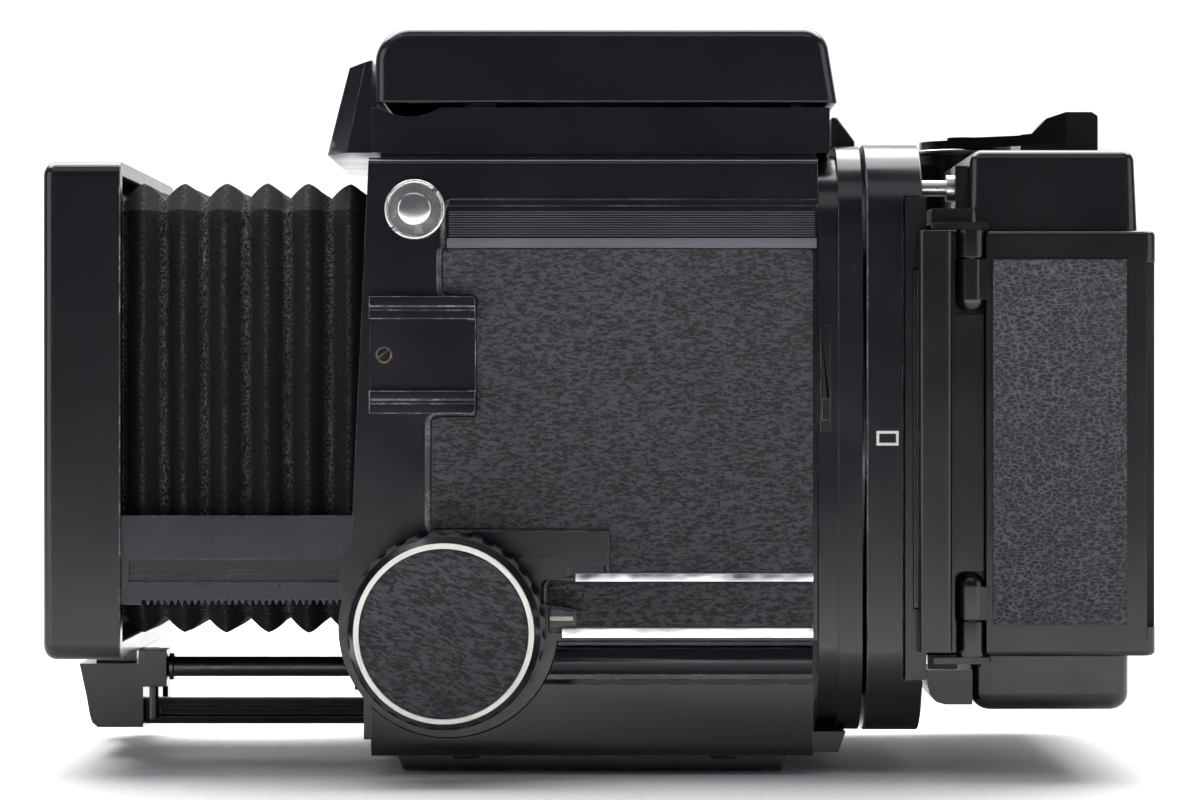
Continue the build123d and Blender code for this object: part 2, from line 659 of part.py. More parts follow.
def focus_racks():
    """Two toothed bars fixed to the front standard; a tooth space is over the shaft at rest."""
    pitch = pi * GEAR_MODULE
    pitch_z = SHAFT_Z + PINION_R
    tip, root = pitch_z - GEAR_MODULE, pitch_z + 1.25 * GEAR_MODULE
    front, rear = STANDARD_REAR, STANDARD_REAR + RACK_LENGTH
    first = SHAFT_X + pitch / 2 - pitch * int((SHAFT_X - front - 4.0) / pitch)
    count = int((rear - 1.0 - first) / pitch) + 1
    outline = [(front, RACK_TOP), (front, tip), (first - pitch, tip), (first - pitch, root)]
    for tooth in range(count):
        x = first + tooth * pitch
        wide, narrow = tooth_profile(-1.25 * GEAR_MODULE), tooth_profile(GEAR_MODULE)
        outline += [(x - wide, root), (x - narrow, tip), (x + narrow, tip), (x + wide, root)]
    outline += [(rear, root), (rear, RACK_TOP)]
    with BuildPart() as racks:
        for side in (-1, 1):
            side_prism(side, RACK_INNER, outline, RACK_OUTER - RACK_INNER)
            groove = side_y(side, RACK_OUTER - 0.7, RACK_OUTER)
            block((front + 1.5, rear), groove, (35.9, 40.0), Mode.SUBTRACT)
    save(racks, "focus_racks")


def focus_knobs():
    """Two large knobs with a scalloped rim, hollow behind."""
    shaft = (SHAFT_X, SHAFT_Z)
    with BuildPart() as knobs:
        for side in (-1, 1):
            plane = side_plane(side, KNOB_NEAR)
            with BuildSketch(plane) as rim:
                with Locations((SHAFT_X, -side * SHAFT_Z)):
                    Circle(KNOB_R)
                    with PolarLocations(KNOB_R + 1.1, KNOB_SCALLOPS):
                        Circle(1.75, mode=Mode.SUBTRACT)
            extrude(rim.sketch, amount=KNOB_FAR - KNOB_NEAR - 2.2)
            step, end = KNOB_FAR - 2.2, KNOB_FAR
            with BuildSketch(side_plane(side, step)) as shoulder:
                with Locations((SHAFT_X, -side * SHAFT_Z)):
                    Circle(KNOB_R - 0.7)
            extrude(shoulder.sketch, amount=end - step, taper=30)
            across(shaft, side_y(side, end - 1.2, end + 0.1), 16.35, Mode.SUBTRACT)
            across(shaft, side_y(side, KNOB_NEAR, 64.0), 15.0, Mode.SUBTRACT)
            across(shaft, side_y(side, KNOB_NEAR, 64.0), 6.5)
            across(shaft, side_y(side, KNOB_NEAR, KNOB_FAR - 2.5), SHAFT_R, Mode.SUBTRACT)
    save(knobs, "focus_knobs")


def knob_rings():
    """Pale rings round the leather discs of the knobs."""
    shaft = (SHAFT_X, SHAFT_Z)
    with BuildPart() as rings:
        for side in (-1, 1):
            across(shaft, side_y(side, KNOB_FAR - 1.2, KNOB_FAR + 0.1), 16.3)
            across(shaft, side_y(side, KNOB_FAR - 1.2, KNOB_FAR + 0.1), 15.3, Mode.SUBTRACT)
    save(rings, "knob_rings")


def knob_leathers():
    with BuildPart() as discs:
        for side in (-1, 1):
            across((SHAFT_X, SHAFT_Z), side_y(side, KNOB_FAR - 1.2, KNOB_FAR - 0.2), 15.25)
    save(discs, "knob_leathers")


def focus_lock_lever():
    """The focus lock: a ring on the left stub with a tapered tab."""
    y = (51.0, 54.3)
    with BuildPart() as lever:
        across((SHAFT_X, SHAFT_Z), (-y[1], -y[0]), 10.8)
        arm = [(-20.0, 33.0), (-10.0, 32.2), (-3.4, 31.2), (-3.4, 28.2), (-10.0, 26.8), (-20.0, 26.0)]
        prism(Plane.XZ.offset(y[0]), arm, y[1] - y[0])
        across((SHAFT_X, SHAFT_Z), (-y[1], -y[0]), STUB_R + RUNNING_FIT, Mode.SUBTRACT)
        tab = [(-8.4, 31.6), (-3.9, 30.9), (-3.9, 28.5), (-8.4, 27.5)]
        prism(Plane.XZ.offset(y[1]), tab, 1.8)
    save(lever, "focus_lock_lever")


# ---------------------------------------------------------------- front standard
def front_standard():
    """The sliding lens panel: a shallow tray, open towards the bellows."""
    wall, plate = 3.5, 4.0
    z = (STANDARD_BOTTOM, STANDARD_TOP)
    with BuildPart() as standard:
        block((STANDARD_FRONT, STANDARD_REAR), (-STANDARD_HALF, STANDARD_HALF), z)
        fillet(standard.edges().filter_by(Axis.X), 3.0)
        fillet(standard.faces().sort_by(Axis.X)[0].edges(), 2.4)
        inner_half = STANDARD_HALF - wall
        inner = (STANDARD_FRONT + plate, STANDARD_REAR)
        block(inner, (-inner_half, inner_half), (z[0] + wall, z[1] - wall + 0.8), Mode.SUBTRACT)
        along((0, AXIS_Z), (STANDARD_FRONT, STANDARD_FRONT + plate), 33.05, Mode.SUBTRACT)
        along((0, AXIS_Z), (STANDARD_FRONT, STANDARD_FRONT + 2.0), 39.05, Mode.SUBTRACT)
    save(standard, "front_standard")


def lens_flange():
    """The bright lens-mount ring with its rear sleeve and three lug notches."""
    front = STANDARD_FRONT + 0.2
    with BuildPart() as flange:
        along((0, AXIS_Z), (front, front + 1.8), 39.0)
        along((0, AXIS_Z), (front + 1.8, front + 5.0), 33.0)
        along((0, AXIS_Z), (front, front + 5.0), THROAT_R, Mode.SUBTRACT)
        for angle in FLANGE_SCREW_ANGLES:
            along(flange_point(36.4, angle), (front, front + 1.0), 1.6, Mode.SUBTRACT)
        for angle in (90, 210, 330):
            along(flange_point(31.4, angle), (front, front + 0.8), 2.0, Mode.SUBTRACT)
    save(flange, "lens_flange")


def flange_point(radius, degrees):
    """A point of the lens flange, as (y, z)."""
    return (radius * cos(radians(degrees)), AXIS_Z + radius * sin(radians(degrees)))


def flange_screws():
    front = STANDARD_FRONT + 0.2
    with BuildPart() as screws:
        for angle in FLANGE_SCREW_ANGLES:
            along(flange_point(36.4, angle), (front + 0.1, front + 1.0), 1.55)
    save(screws, "flange_screws")


def bellows_ring(x, half, z, hole_half, hole_z, name):
    """A flat frame that one end of the bellows is glued to."""
    with BuildPart() as ring:
        block(x, (-half, half), z)
        block(x, (-hole_half, hole_half), hole_z, Mode.SUBTRACT)
    save(ring, name)


def bellows_section(x, half, low, high):
    with BuildSketch(Plane.YZ.offset(x)) as section:
        with Locations((0, (low + high) / 2)):
            RectangleRounded(2 * half, high - low, 2.0)
    return section.sketch


def bellows_sections(wall):
    """Sections at every valley and peak, wall millimetres inside the cloth's outer face."""
    drop = PEAK_HALF - VALLEY_HALF
    step = (BELLOWS_REAR - BELLOWS_FRONT) / (2 * PLEATS)
    sections = []
    for k in range(2 * PLEATS + 1):
        inset = wall + (0 if k % 2 else drop)
        x = BELLOWS_FRONT + k * step
        section = bellows_section(x, PEAK_HALF - inset, PEAK_LOW + inset, PEAK_HIGH - inset)
        sections.append(section.faces()[0])
    return sections


def bellows():
    """The pleated light-tight tube between the body and the front standard, fully drawn out."""
    with BuildPart() as tube:
        loft(bellows_sections(0), ruled=True)
        loft(bellows_sections(BELLOWS_WALL), ruled=True, mode=Mode.SUBTRACT)
    save(tube, "bellows")


def release_housing():
    """The box under the standard with the shutter release, hung on a short neck."""
    y = (-5.0, 45.0)
    profile = [
        (-101.2, 18.0), (-100.7, 15.6), (-99.8, 11.5), (-99.2, 8.0), (-98.7, 6.4), (-97.6, 5.5),
        (-88.7, 5.5), (-88.7, 18.0),
    ]
    button_y, button_z = RELEASE_BUTTON
    with BuildPart() as housing:
        prism(Plane.XZ.offset(-y[1]), profile, y[1] - y[0])
        block((-98.5, -90.5), (0.0, 40.0), (18.0, STANDARD_BOTTOM))
        along(RELEASE_BUTTON, (-102.0, -100.8), 8.2, Mode.SUBTRACT)
        along(RELEASE_BUTTON, (-100.8, -95.0), 5.6)
        along(RELEASE_BUTTON, (-101.8, -95.0), 4.2)
        along(RELEASE_BUTTON, (-102.0, -94.0), 3.2 + RUNNING_FIT, Mode.SUBTRACT)
        cavity = (-95.0, -88.7)
        block(cavity, (button_y - 5.0, button_y + 5.0), (button_z - 4.5, button_z + 4.5), Mode.SUBTRACT)
    save(housing, "release_housing")


def release_button():
    with BuildPart() as button:
        along(RELEASE_BUTTON, (-102.6, -94.2), 3.2)
        along(RELEASE_BUTTON, (-94.2, -93.4), 4.2)
        along(RELEASE_BUTTON, (-102.6, -101.8), 1.0, Mode.SUBTRACT)
    save(button, "release_button")


def release_lock_ring():
    """The ring that turns to lock the shutter release."""
    y, z = RELEASE_BUTTON
    with BuildPart() as ring:
        along(RELEASE_BUTTON, (-101.8, -100.9), 5.6)
        block((-101.8, -100.9), (y - 7.4, y - 5.0), (z - 1.1, z + 1.1))
        along(RELEASE_BUTTON, (-101.8, -100.9), 4.2 + RUNNING_FIT, Mode.SUBTRACT)
    save(ring, "release_lock_ring")


def cocking_rod():
    """The upper sliding rod, with its end block beside the release housing."""
    with BuildPart() as upper:
        block((-88.7, -83.2), (-13.0, -5.05), (14.0, 21.2))
        along((-10.0, 17.8), (-83.2, -12.0), 1.95)
        along((-10.0, 17.8), (-82.9, -82.0), 2.6)
        upright((-86.0, -10.0), (7.5, 14.0), 0.9)
    save(upper, "cocking_rod")


def release_rod():
    """The lower sliding bar that carries the release motion into the body."""
    with BuildPart() as lower:
        block((-88.7, -12.0), (-2.1, 2.1), (5.95, 11.0))
        for side in (-1, 1):
            block((-86.0, -12.0), side_y(side, 1.3, 2.1), (7.6, 9.4), Mode.SUBTRACT)
    save(lower, "release_rod")


# ---------------------------------------------------------------- cocking lever
def cocking_lever():
    """The mirror and shutter cocking lever on the right side."""
    x, z = COCKING_PIVOT
    y = (50.3, 54.0)
    with BuildPart() as lever:
        across(COCKING_PIVOT, y, 9.0)
        arm = [(x - 7.0, z + 4.0), (x + 7.0, z + 4.0), (x + 4.5, z + 34.0), (x - 4.5, z + 34.0)]
        side_prism(1, y[0], arm, y[1] - y[0] - 1.0)
        tip = [(x - 6.0, z + 30.0), (x + 6.0, z + 30.0), (x + 5.0, z + 42.0), (x - 5.0, z + 42.0)]
        side_prism(1, y[0], tip, 7.5)
        across(COCKING_PIVOT, y, 3.5 + RUNNING_FIT, Mode.SUBTRACT)
    save(lever, "cocking_lever")


# ---------------------------------------------------------------- revolving adapter
def revolving_adapter():
    """The plate that turns the film back through 90 degrees, with rails that hold the back."""
    z = (REAR_FRAME_BOTTOM, 117.7)
    gate = (AXIS_Z - 36.0, AXIS_Z + 36.0)
    with BuildPart() as adapter:
        rounded_plate((ADAPTER_FRONT, RAIL_REAR), ADAPTER_HALF, z, CORNER_R)
        block((ADAPTER_REAR, RAIL_REAR), (-60, 60), (18.0, 107.2), Mode.SUBTRACT)
        block((ADAPTER_FRONT, ADAPTER_REAR), (-36.0, 36.0), gate, Mode.SUBTRACT)
        with BuildSketch(Plane.YZ.offset(REAR_FRAME_REAR - 1.4)) as ring:
            with Locations((0, AXIS_Z)):
                Circle(RING_OUTER)
                Circle(RING_INNER, mode=Mode.SUBTRACT)
        extrude(ring.sketch, amount=ADAPTER_FRONT - REAR_FRAME_REAR + 1.4)
    save(adapter, "revolving_adapter")


# ---------------------------------------------------------------- roll-film back
CATCH_OUTLINE = [
    (61.2, 20.0), (61.2, 17.4), (61.7, 15.4), (62.8, 14.1), (64.4, 13.6), (69.5, 13.6), (69.5, 20.0),
]


def hump(x, z, corner, draft=0.0):
    """An end of the film back's case, with rounded upright corners and a moulding draft in degrees."""
    with BuildSketch(Plane.XY.offset(z[0])) as outline:
        with Locations(((x[0] + x[1]) / 2, (HUMP_LEFT + CASE_RIGHT) / 2)):
            RectangleRounded(x[1] - x[0], CASE_RIGHT - HUMP_LEFT, corner)
    extrude(outline.sketch, amount=z[1] - z[0], taper=draft)


def film_back_case():
    """The film back's case: gate plate, walls, the two end humps and its hinge knuckles."""
    wall = 2.0
    gate_half, gate_z = 34.75, (AXIS_Z - 28.0, AXIS_Z + 28.0)
    x, y = DOOR_HINGE
    strip = (y + 0.3, CASE_LEFT)
    with BuildPart() as case:
        block((CASE_FRONT, FILM_REAR), (HUMP_LEFT, CASE_RIGHT), (18.2, 107.0))
        block((FILM_REAR, CASE_REAR), (CASE_LEFT, CASE_RIGHT), (CASE_BOTTOM, CASE_TOP))
        hump((68.6, 100.0), (CASE_TOP, HUMP_TOP), 2.6, 2.6)
        hump((69.5, 98.5), (HUMP_BOTTOM, CASE_BOTTOM), 3.8)
        fillet(case.edges().group_by(Axis.Z)[-1], 2.2)
        fillet(case.edges().group_by(Axis.Z)[0], 3.2)
        upright(LEVER_HUB, (CASE_TOP, HUB_TOP), 9.6)
        inner_y = (CASE_LEFT + wall, CASE_RIGHT - wall - 0.5)
        inner_z = (CASE_BOTTOM + wall, CASE_TOP - wall)
        block((FILM_REAR, CASE_REAR), inner_y, inner_z, Mode.SUBTRACT)
        block((72.0, CASE_REAR), (CASE_LEFT, CASE_LEFT + wall), inner_z, Mode.SUBTRACT)
        block((71.0, 97.5), (-51.8, 52.0), (CASE_TOP + wall, HUMP_TOP - wall), Mode.SUBTRACT)
        block((71.5, 96.5), (-51.8, 52.0), (HUMP_BOTTOM + wall, CASE_BOTTOM), Mode.SUBTRACT)
        upright((SPOOL_X, SPOOL_Y), (CASE_TOP - wall, CASE_TOP + wall), 5.0, Mode.SUBTRACT)
        upright(LEVER_HUB, (HUMP_TOP - wall, HUB_TOP), 3.0 + RUNNING_FIT, Mode.SUBTRACT)
        block((CASE_FRONT, FILM_REAR), (-gate_half, gate_half), gate_z, Mode.SUBTRACT)
        block((58.5, 59.5), (-54, 42.0), (AXIS_Z - 31.4, AXIS_Z + 31.4), Mode.SUBTRACT)
        block((61.9, 71.5), strip, (CASE_BOTTOM + 0.6, CASE_TOP - 0.6))
        for window in ((85.4, 95.8), (29.1, 38.2)):
            block((66.2, 71.6), strip, window, Mode.SUBTRACT)
        for low, high, ledge in ((95.8, 101.5, 101.1), (22.3, 29.1, 21.3)):
            upright(DOOR_HINGE, (low, high), KNUCKLE_R)
            block((x - 0.9, x + 1.4), (y, CASE_LEFT), (low, high))
            block((62.0, 72.2), (y - 2.7, CASE_LEFT), (ledge, ledge + 1.2))
        for low, high in ((95.8, 100.8), (23.4, 29.1)):
            upright(DOOR_HINGE, (low, high), 1.0, Mode.SUBTRACT)
        block((62.0, 72.0), (-53.0, -40.0), (102.3, 105.0))
        side_prism(-1, 36.0, CATCH_OUTLINE, 17.0)
        block((66.6, 69.0), (-50.0, -42.0), (105.0, 113.0))
        along((-46.0, 109.0), (66.6, 69.0), 1.5, Mode.SUBTRACT)
    save(case, "film_back_case")


def back_pins():
    """The door's two hinge pins and the interlock pin that meets the adapter's top rail."""
    with BuildPart() as pins:
        upright(DOOR_HINGE, (87.0, 100.8), 1.0)
        upright(DOOR_HINGE, (23.4, 36.6), 1.0)
        along((-46.0, 109.0), (RAIL_REAR + 0.1, 69.0), 1.5)
        along((-46.0, 109.0), (65.2, 66.6), 2.5)
    save(pins, "back_pins")


def film_insert():
    """The frame that carries both spools and slides into the case."""
    x = (66.0, 97.0)
    y = (-48.6, 50.8)
    with BuildPart() as insert:
        block(x, y, (27.0, 29.6))
        block(x, y, (95.6, 98.4))
        block((66.0, 67.6), (-23.0, 23.0), (29.6, 95.6))
        for side in (-1, 1):
            upright((66.8, side * 30.0), (29.6, 95.6), 2.4)
            upright((SPOOL_X, side * SPOOL_Y), (27.0, 98.4), 2.6, Mode.SUBTRACT)
    save(insert, "film_insert")


def pressure_plate():
    """The plate that holds the film flat against the gate, with its leaf springs."""
    half_y, half_z = 38.0, 31.5
    with BuildPart() as plate:
        block((61.6, 62.8), (-half_y, half_y), (AXIS_Z - half_z, AXIS_Z + half_z))
        for y in (-15.0, 15.0):
            spring = [(62.8, y - 3), (66.0, y), (65.8, y + 0.4), (62.8, y + 3)]
            prism(Plane.XY.offset(AXIS_Z - 8), spring, 16)
    save(plate, "pressure_plate")


def film_spool(y, drive_top, name):
    """A roll-film spool; the take-up spool also has the drive stub that enters the top hump."""
    at = (SPOOL_X, y)
    with BuildPart() as spool:
        upright(at, (SPOOL_BOTTOM, SPOOL_TOP), SPOOL_CORE_R)
        upright(at, (SPOOL_BOTTOM, SPOOL_BOTTOM + 0.9), SPOOL_FLANGE_R)
        upright(at, (SPOOL_TOP - 0.9, SPOOL_TOP), SPOOL_FLANGE_R)
        upright(at, (27.4, SPOOL_BOTTOM), 2.5)
        upright(at, (SPOOL_TOP, drive_top), 2.5)
        block((SPOOL_X - 0.5, SPOOL_X + 0.5), (y - 5, y + 5), (40.0, 85.0), Mode.SUBTRACT)
    save(spool, name)


def back_door():
    """The hinged door: its end wall, with two domed hinge knuckles, and its rear wall."""
    x, y = DOOR_HINGE
    z = (CASE_BOTTOM + 0.1, CASE_TOP - 0.1)
    outer_y, inner_y = -56.0, -53.9
    outer_x, inner_x = 103.0, 100.3
    with BuildPart() as door:
        block((71.8, outer_x), (outer_y, CASE_RIGHT), z)
        fillet(door.edges().filter_by(Axis.Z).group_by(Axis.X)[-1], 2.4)
        fillet(door.edges().group_by(Axis.Z)[-1], 1.0)
        fillet(door.edges().group_by(Axis.Z)[0], 1.0)
        block((71.8, inner_x), (inner_y, CASE_RIGHT), z, Mode.SUBTRACT)
        for low, high, dome in ((88.2, 95.6, 88.2), (29.3, 35.4, 35.4)):
            upright(DOOR_HINGE, (low, high), KNUCKLE_R)
            block((x, 72.2), (y - 2.3, y - 0.3), (low, high))
            with Locations((x, y, dome)):
                Sphere(KNUCKLE_R)
        for hole in ((86.8, 95.6), (29.3, 36.8)):
            upright(DOOR_HINGE, hole, 1.0 + RUNNING_FIT, Mode.SUBTRACT)
        block((101.2, outer_x + 0.1), (outer_y - 0.1, -53.0), (28.0, 95.0), Mode.SUBTRACT)
        for at in (-40.0, 40.0):
            block((outer_x, outer_x + 0.3), (at - 4, at + 4), (28.0, 95.0), Mode.SUBTRACT)
    save(door, "back_door")


def door_leatherette():
    """Grained panels on the end and rear walls of the door."""
    with BuildPart() as leather:
        block((73.0, 97.5), (-56.4, -56.0), (28.5, 95.5))
        block((103.0, 103.4), (-46.0, 46.0), (28.5, 95.5))
    save(leather, "door_leatherette")


def dark_slide():
    """The light-tight blade in front of the film, with its full-height pull bar."""
    with BuildPart() as slide:
        block((58.6, 59.4), (-54.4, 40.0), (AXIS_Z - 31.0, AXIS_Z + 31.0))
        block((59.3, 65.4), (-58.4, -54.2), (23.5, 100.7))
        fillet(slide.edges().filter_by(Axis.Z).group_by(Axis.Y)[0], 1.2)
        block((58.6, 59.4), (-54.6, -54.2), (AXIS_Z - 31.0, AXIS_Z + 31.0))
    save(slide, "dark_slide")


def advance_lever():
    """The film advance lever: a low arm from the hub that rises to a tall thumb tip."""
    low, arm_top, tip_top = HUB_TOP + 0.1, HUB_TOP + 2.2, 126.0
    arm = [
        (70.5, 10.2), (83.0, 1.5), (92.0, -8.0), (98.2, -8.0), (98.8, -3.5), (90.0, 9.0), (80.5, 23.0),
    ]
    thumb = [(84.0, 0.5), (92.0, -8.0), (98.2, -8.0), (98.8, -3.5), (91.0, 7.5)]
    above = [
        (80.0, arm_top), (86.0, arm_top + 0.2), (88.6, 125.0), (92.0, tip_top), (97.0, tip_top),
        (98.1, 125.3), (99.4, HUB_TOP), (100.0, 130.0), (80.0, 130.0),
    ]
    with BuildPart() as lever:
        prism(Plane.XY.offset(HUMP_TOP + 0.2), thumb, tip_top - HUMP_TOP - 0.2)
        prism(Plane.XZ.offset(-20.0), above, 40.0, Mode.SUBTRACT)
        prism(Plane.XY.offset(low), arm, arm_top - low)
        upright(LEVER_HUB, (low, HUB_TOP + 1.8), 8.6)
        upright(LEVER_HUB, (HUMP_TOP - 3.0, HUB_TOP + 2.8), 3.0)
    save(lever, "advance_lever")


body_shell()
side_cover(-1, "left_side_cover")
side_cover(1, "right_side_cover")
side_leatherette()
nameplates()
trim_strips()
strap_lugs()
accessory_shoe()
body_fasteners()
base_cover()
tripod_foot()
tripod_bushing()
rear_frame()
adapter_catch()
focusing_screen()
screen_frame()
shaft_bushes()
finder_frame()
finder_nose()
finder_latch()
hood_lid()
magnifier_frame()
magnifier_lens()
hood_side(-1, "hood_side_left")
hood_side(1, "hood_side_right")
hood_rear_panel()
mirror_carrier()
mirror_glass()
light_baffle()
focus_shaft()
focus_pinions()
focus_racks()
focus_knobs()
knob_rings()
knob_leathers()
focus_lock_lever()
front_standard()
lens_flange()
flange_screws()
bellows_ring((-98.6, -96.5), 42.6, (25.2, 111.0), 35.0, (28.9, 104.5), "bellows_front_frame")
bellows_ring((-42.15, -40.25), 40.4, (27.1, 109.4), 35.0, (35.5, 104.5), "bellows_rear_frame")
bellows()
release_housing()
release_button()
release_lock_ring()
cocking_rod()
release_rod()
cocking_lever()
revolving_adapter()
film_back_case()
back_pins()
film_insert()
pressure_plate()
film_spool(SPOOL_Y, 104.0, "take_up_spool")
film_spool(-SPOOL_Y, 98.0, "supply_spool")
back_door()
door_leatherette()
dark_slide()
advance_lever()
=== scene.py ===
import json
from math import cos, pi, radians, sin

import bmesh
import bpy
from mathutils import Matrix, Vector, noise


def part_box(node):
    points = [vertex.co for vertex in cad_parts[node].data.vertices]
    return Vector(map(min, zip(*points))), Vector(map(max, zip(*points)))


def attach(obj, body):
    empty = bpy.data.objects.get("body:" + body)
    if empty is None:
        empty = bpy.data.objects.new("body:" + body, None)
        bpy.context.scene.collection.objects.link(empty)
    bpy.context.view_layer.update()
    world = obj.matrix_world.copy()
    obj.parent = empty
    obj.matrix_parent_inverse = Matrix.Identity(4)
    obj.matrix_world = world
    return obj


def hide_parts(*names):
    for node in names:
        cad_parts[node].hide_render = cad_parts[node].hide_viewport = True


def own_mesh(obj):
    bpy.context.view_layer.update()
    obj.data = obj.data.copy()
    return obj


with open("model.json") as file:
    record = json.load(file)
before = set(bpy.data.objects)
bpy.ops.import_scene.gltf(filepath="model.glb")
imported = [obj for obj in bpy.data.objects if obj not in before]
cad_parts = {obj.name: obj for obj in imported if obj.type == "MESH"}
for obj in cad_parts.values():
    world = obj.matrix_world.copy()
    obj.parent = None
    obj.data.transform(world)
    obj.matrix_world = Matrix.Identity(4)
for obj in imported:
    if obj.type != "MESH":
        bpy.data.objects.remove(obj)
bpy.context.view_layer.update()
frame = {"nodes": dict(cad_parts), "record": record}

MM = 0.001
WELD = 2e-6  # metres
COVER_FACE = 49.4  # how far out the plane of the side covers lies, in millimetres
scene = bpy.context.scene
NODES = frame["nodes"]
NODE_BODY = {n: body for body, names in frame["record"]["behaviour"]["bodies"].items() for n in names}


# ---------------------------------------------------------------- material building blocks
class Shader:
    """A small builder of node materials, with textures measured in millimetres."""

    def __init__(self, name):
        self.material = bpy.data.materials.new(name)
        self.material.use_nodes = True
        self.nodes = self.material.node_tree.nodes
        self.links = self.material.node_tree.links
        self.surface = self.nodes["Principled BSDF"]
        self.place = self.nodes.new("ShaderNodeTexCoord").outputs["Object"]

    def link(self, output, socket):
        self.links.new(output, socket)

    def coords(self, stretch=(1, 1, 1), turn=(0, 0, 0)):
        """Object coordinates in millimetres, stretched and turned."""
        mapping = self.nodes.new("ShaderNodeMapping")
        mapping.vector_type = "TEXTURE"
        mapping.inputs["Scale"].default_value = [s * MM for s in stretch]
        mapping.inputs["Rotation"].default_value = turn
        self.link(self.place, mapping.inputs["Vector"])
        return mapping.outputs["Vector"]

    def noise(self, size, detail=3.0, rough=0.55, warp=0.0, place=None):
        """Cloudy noise, 0 to 1; size is in millimetres."""
        node = self.nodes.new("ShaderNodeTexNoise")
        node.inputs["Scale"].default_value = 1 / size
        node.inputs["Detail"].default_value = detail
        node.inputs["Roughness"].default_value = rough
        node.inputs["Distortion"].default_value = warp
        self.link(place or self.coords(), node.inputs["Vector"])
        return node.outputs["Fac"]

    def warped(self, place, size, amount):
        """The place, pushed about by a slow noise."""
        wave = self.nodes.new("ShaderNodeTexNoise")
        wave.inputs["Scale"].default_value = 1 / size
        self.link(place, wave.inputs["Vector"])
        push = self.nodes.new("ShaderNodeVectorMath")
        push.operation = "MULTIPLY_ADD"
        push.inputs[1].default_value = (amount, amount, amount)
        self.link(wave.outputs["Color"], push.inputs[0])
        self.link(place, push.inputs[2])
        return push.outputs["Vector"]

    def cell_edges(self, size, place):
        """The distance to the nearest edge of a network of cells."""
        node = self.nodes.new("ShaderNodeTexVoronoi")
        node.feature = "DISTANCE_TO_EDGE"
        node.inputs["Scale"].default_value = 1 / size
        self.link(place, node.inputs["Vector"])
        return node.outputs["Distance"]

    def ramp(self, value, low, high, first=0.0, last=1.0):
        """Map value from the range low..high to first..last, clamped."""
        node = self.nodes.new("ShaderNodeMapRange")
        settings = {"From Min": low, "From Max": high, "To Min": first, "To Max": last}
        for name, number in settings.items():
            node.inputs[name].default_value = number
        self.link(value, node.inputs["Value"])
        return node.outputs["Result"]

    def math(self, operation, a, b):
        node = self.nodes.new("ShaderNodeMath")
        node.operation = operation
        for socket, value in zip(node.inputs, (a, b)):
            if isinstance(value, (int, float)):
                socket.default_value = value
            else:
                self.link(value, socket)
        return node.outputs[0]

    def mix(self, factor, a, b):
        """Mix two colours, each a tuple or another node's output."""
        node = self.nodes.new("ShaderNodeMix")
        node.data_type = "RGBA"
        self.link(factor, node.inputs[0])
        for socket, value in ((node.inputs[6], a), (node.inputs[7], b)):
            if isinstance(value, tuple):
                socket.default_value = (*value, 1)
            else:
                self.link(value, socket)
        return node.outputs[2]

    def attribute(self, name):
        node = self.nodes.new("ShaderNodeAttribute")
        node.attribute_name = name
        return node.outputs["Fac"]

    def bump(self, height, depth_mm, strength=1.0, under=None):
        node = self.nodes.new("ShaderNodeBump")
        node.inputs["Strength"].default_value = strength
        node.inputs["Distance"].default_value = depth_mm * MM
        self.link(height, node.inputs["Height"])
        if under:
            self.link(under, node.inputs["Normal"])
        return node.outputs["Normal"]

    def finish(self, color=None, roughness=None, normal=None, **fixed):
        """Set the shader's inputs: outputs are linked, numbers are set on the socket itself."""
        for name, value in (("Base Color", color), ("Roughness", roughness), ("Normal", normal)):
            if value is not None:
                self.link(value, self.surface.inputs[name])
        for name, value in fixed.items():
            self.surface.inputs[name.replace("_", " ")].default_value = value
        return self.material


def enamel(name, base, gloss=(0.16, 0.22), dust=0.35, peel=0.006):
    """Glossy black paint: faint orange peel, specks of dust and hairline scratches."""
    s = Shader(name)
    mottled = s.ramp(s.noise(12.0, 3), 0.35, 0.7)
    color = s.mix(mottled, base, tuple(c * 1.25 for c in base))
    specks = s.ramp(s.noise(0.35, 2, 0.6), 0.75, 0.8)
    patches = s.ramp(s.noise(14.0, 3), 0.5, 0.68)
    dusty = s.math("MULTIPLY", s.math("MULTIPLY", specks, patches), dust)
    color = s.mix(dusty, color, (0.22, 0.22, 0.23))
    hairs = s.noise(0.5, 2, 0.5, 0.0, s.coords((16.0, 1.0, 0.6), (0.2, 0.9, 0.3)))
    scratches = s.math("MULTIPLY", s.ramp(hairs, 0.71, 0.76), s.ramp(s.noise(11.0, 2), 0.55, 0.62))
    color = s.mix(s.math("MULTIPLY", scratches, 0.3), color, (0.11, 0.11, 0.12))
    rough = s.math("ADD", s.ramp(s.noise(16.0, 2), 0.35, 0.65, *gloss), s.math("MULTIPLY", dusty, 0.3))
    normal = s.bump(s.noise(0.8, 2), peel, 0.25)
    return s.finish(color, rough, normal, Specular_IOR_Level=0.5)


def worn_edge(name, base, metal, amount=0.5):
    """The rounded edges of painted metal, rubbed through to a paler tone in places. A base lighter than the
    paint beside the edge is a painted highlight along it.
    """
    s = Shader(name)
    rub = s.ramp(s.noise(4.0, 5, 0.65), 0.62 - 0.28 * amount, 0.76 - 0.28 * amount)
    grit = s.ramp(s.noise(0.4, 3), 0.38, 0.6)
    color = s.mix(s.math("MULTIPLY", rub, grit), base, metal)
    rough = s.ramp(s.noise(1.2, 3), 0.3, 0.7, 0.26, 0.42)
    normal = s.bump(s.noise(0.3, 2), 0.01, 0.4)
    return s.finish(color, rough, normal, Specular_IOR_Level=0.6)


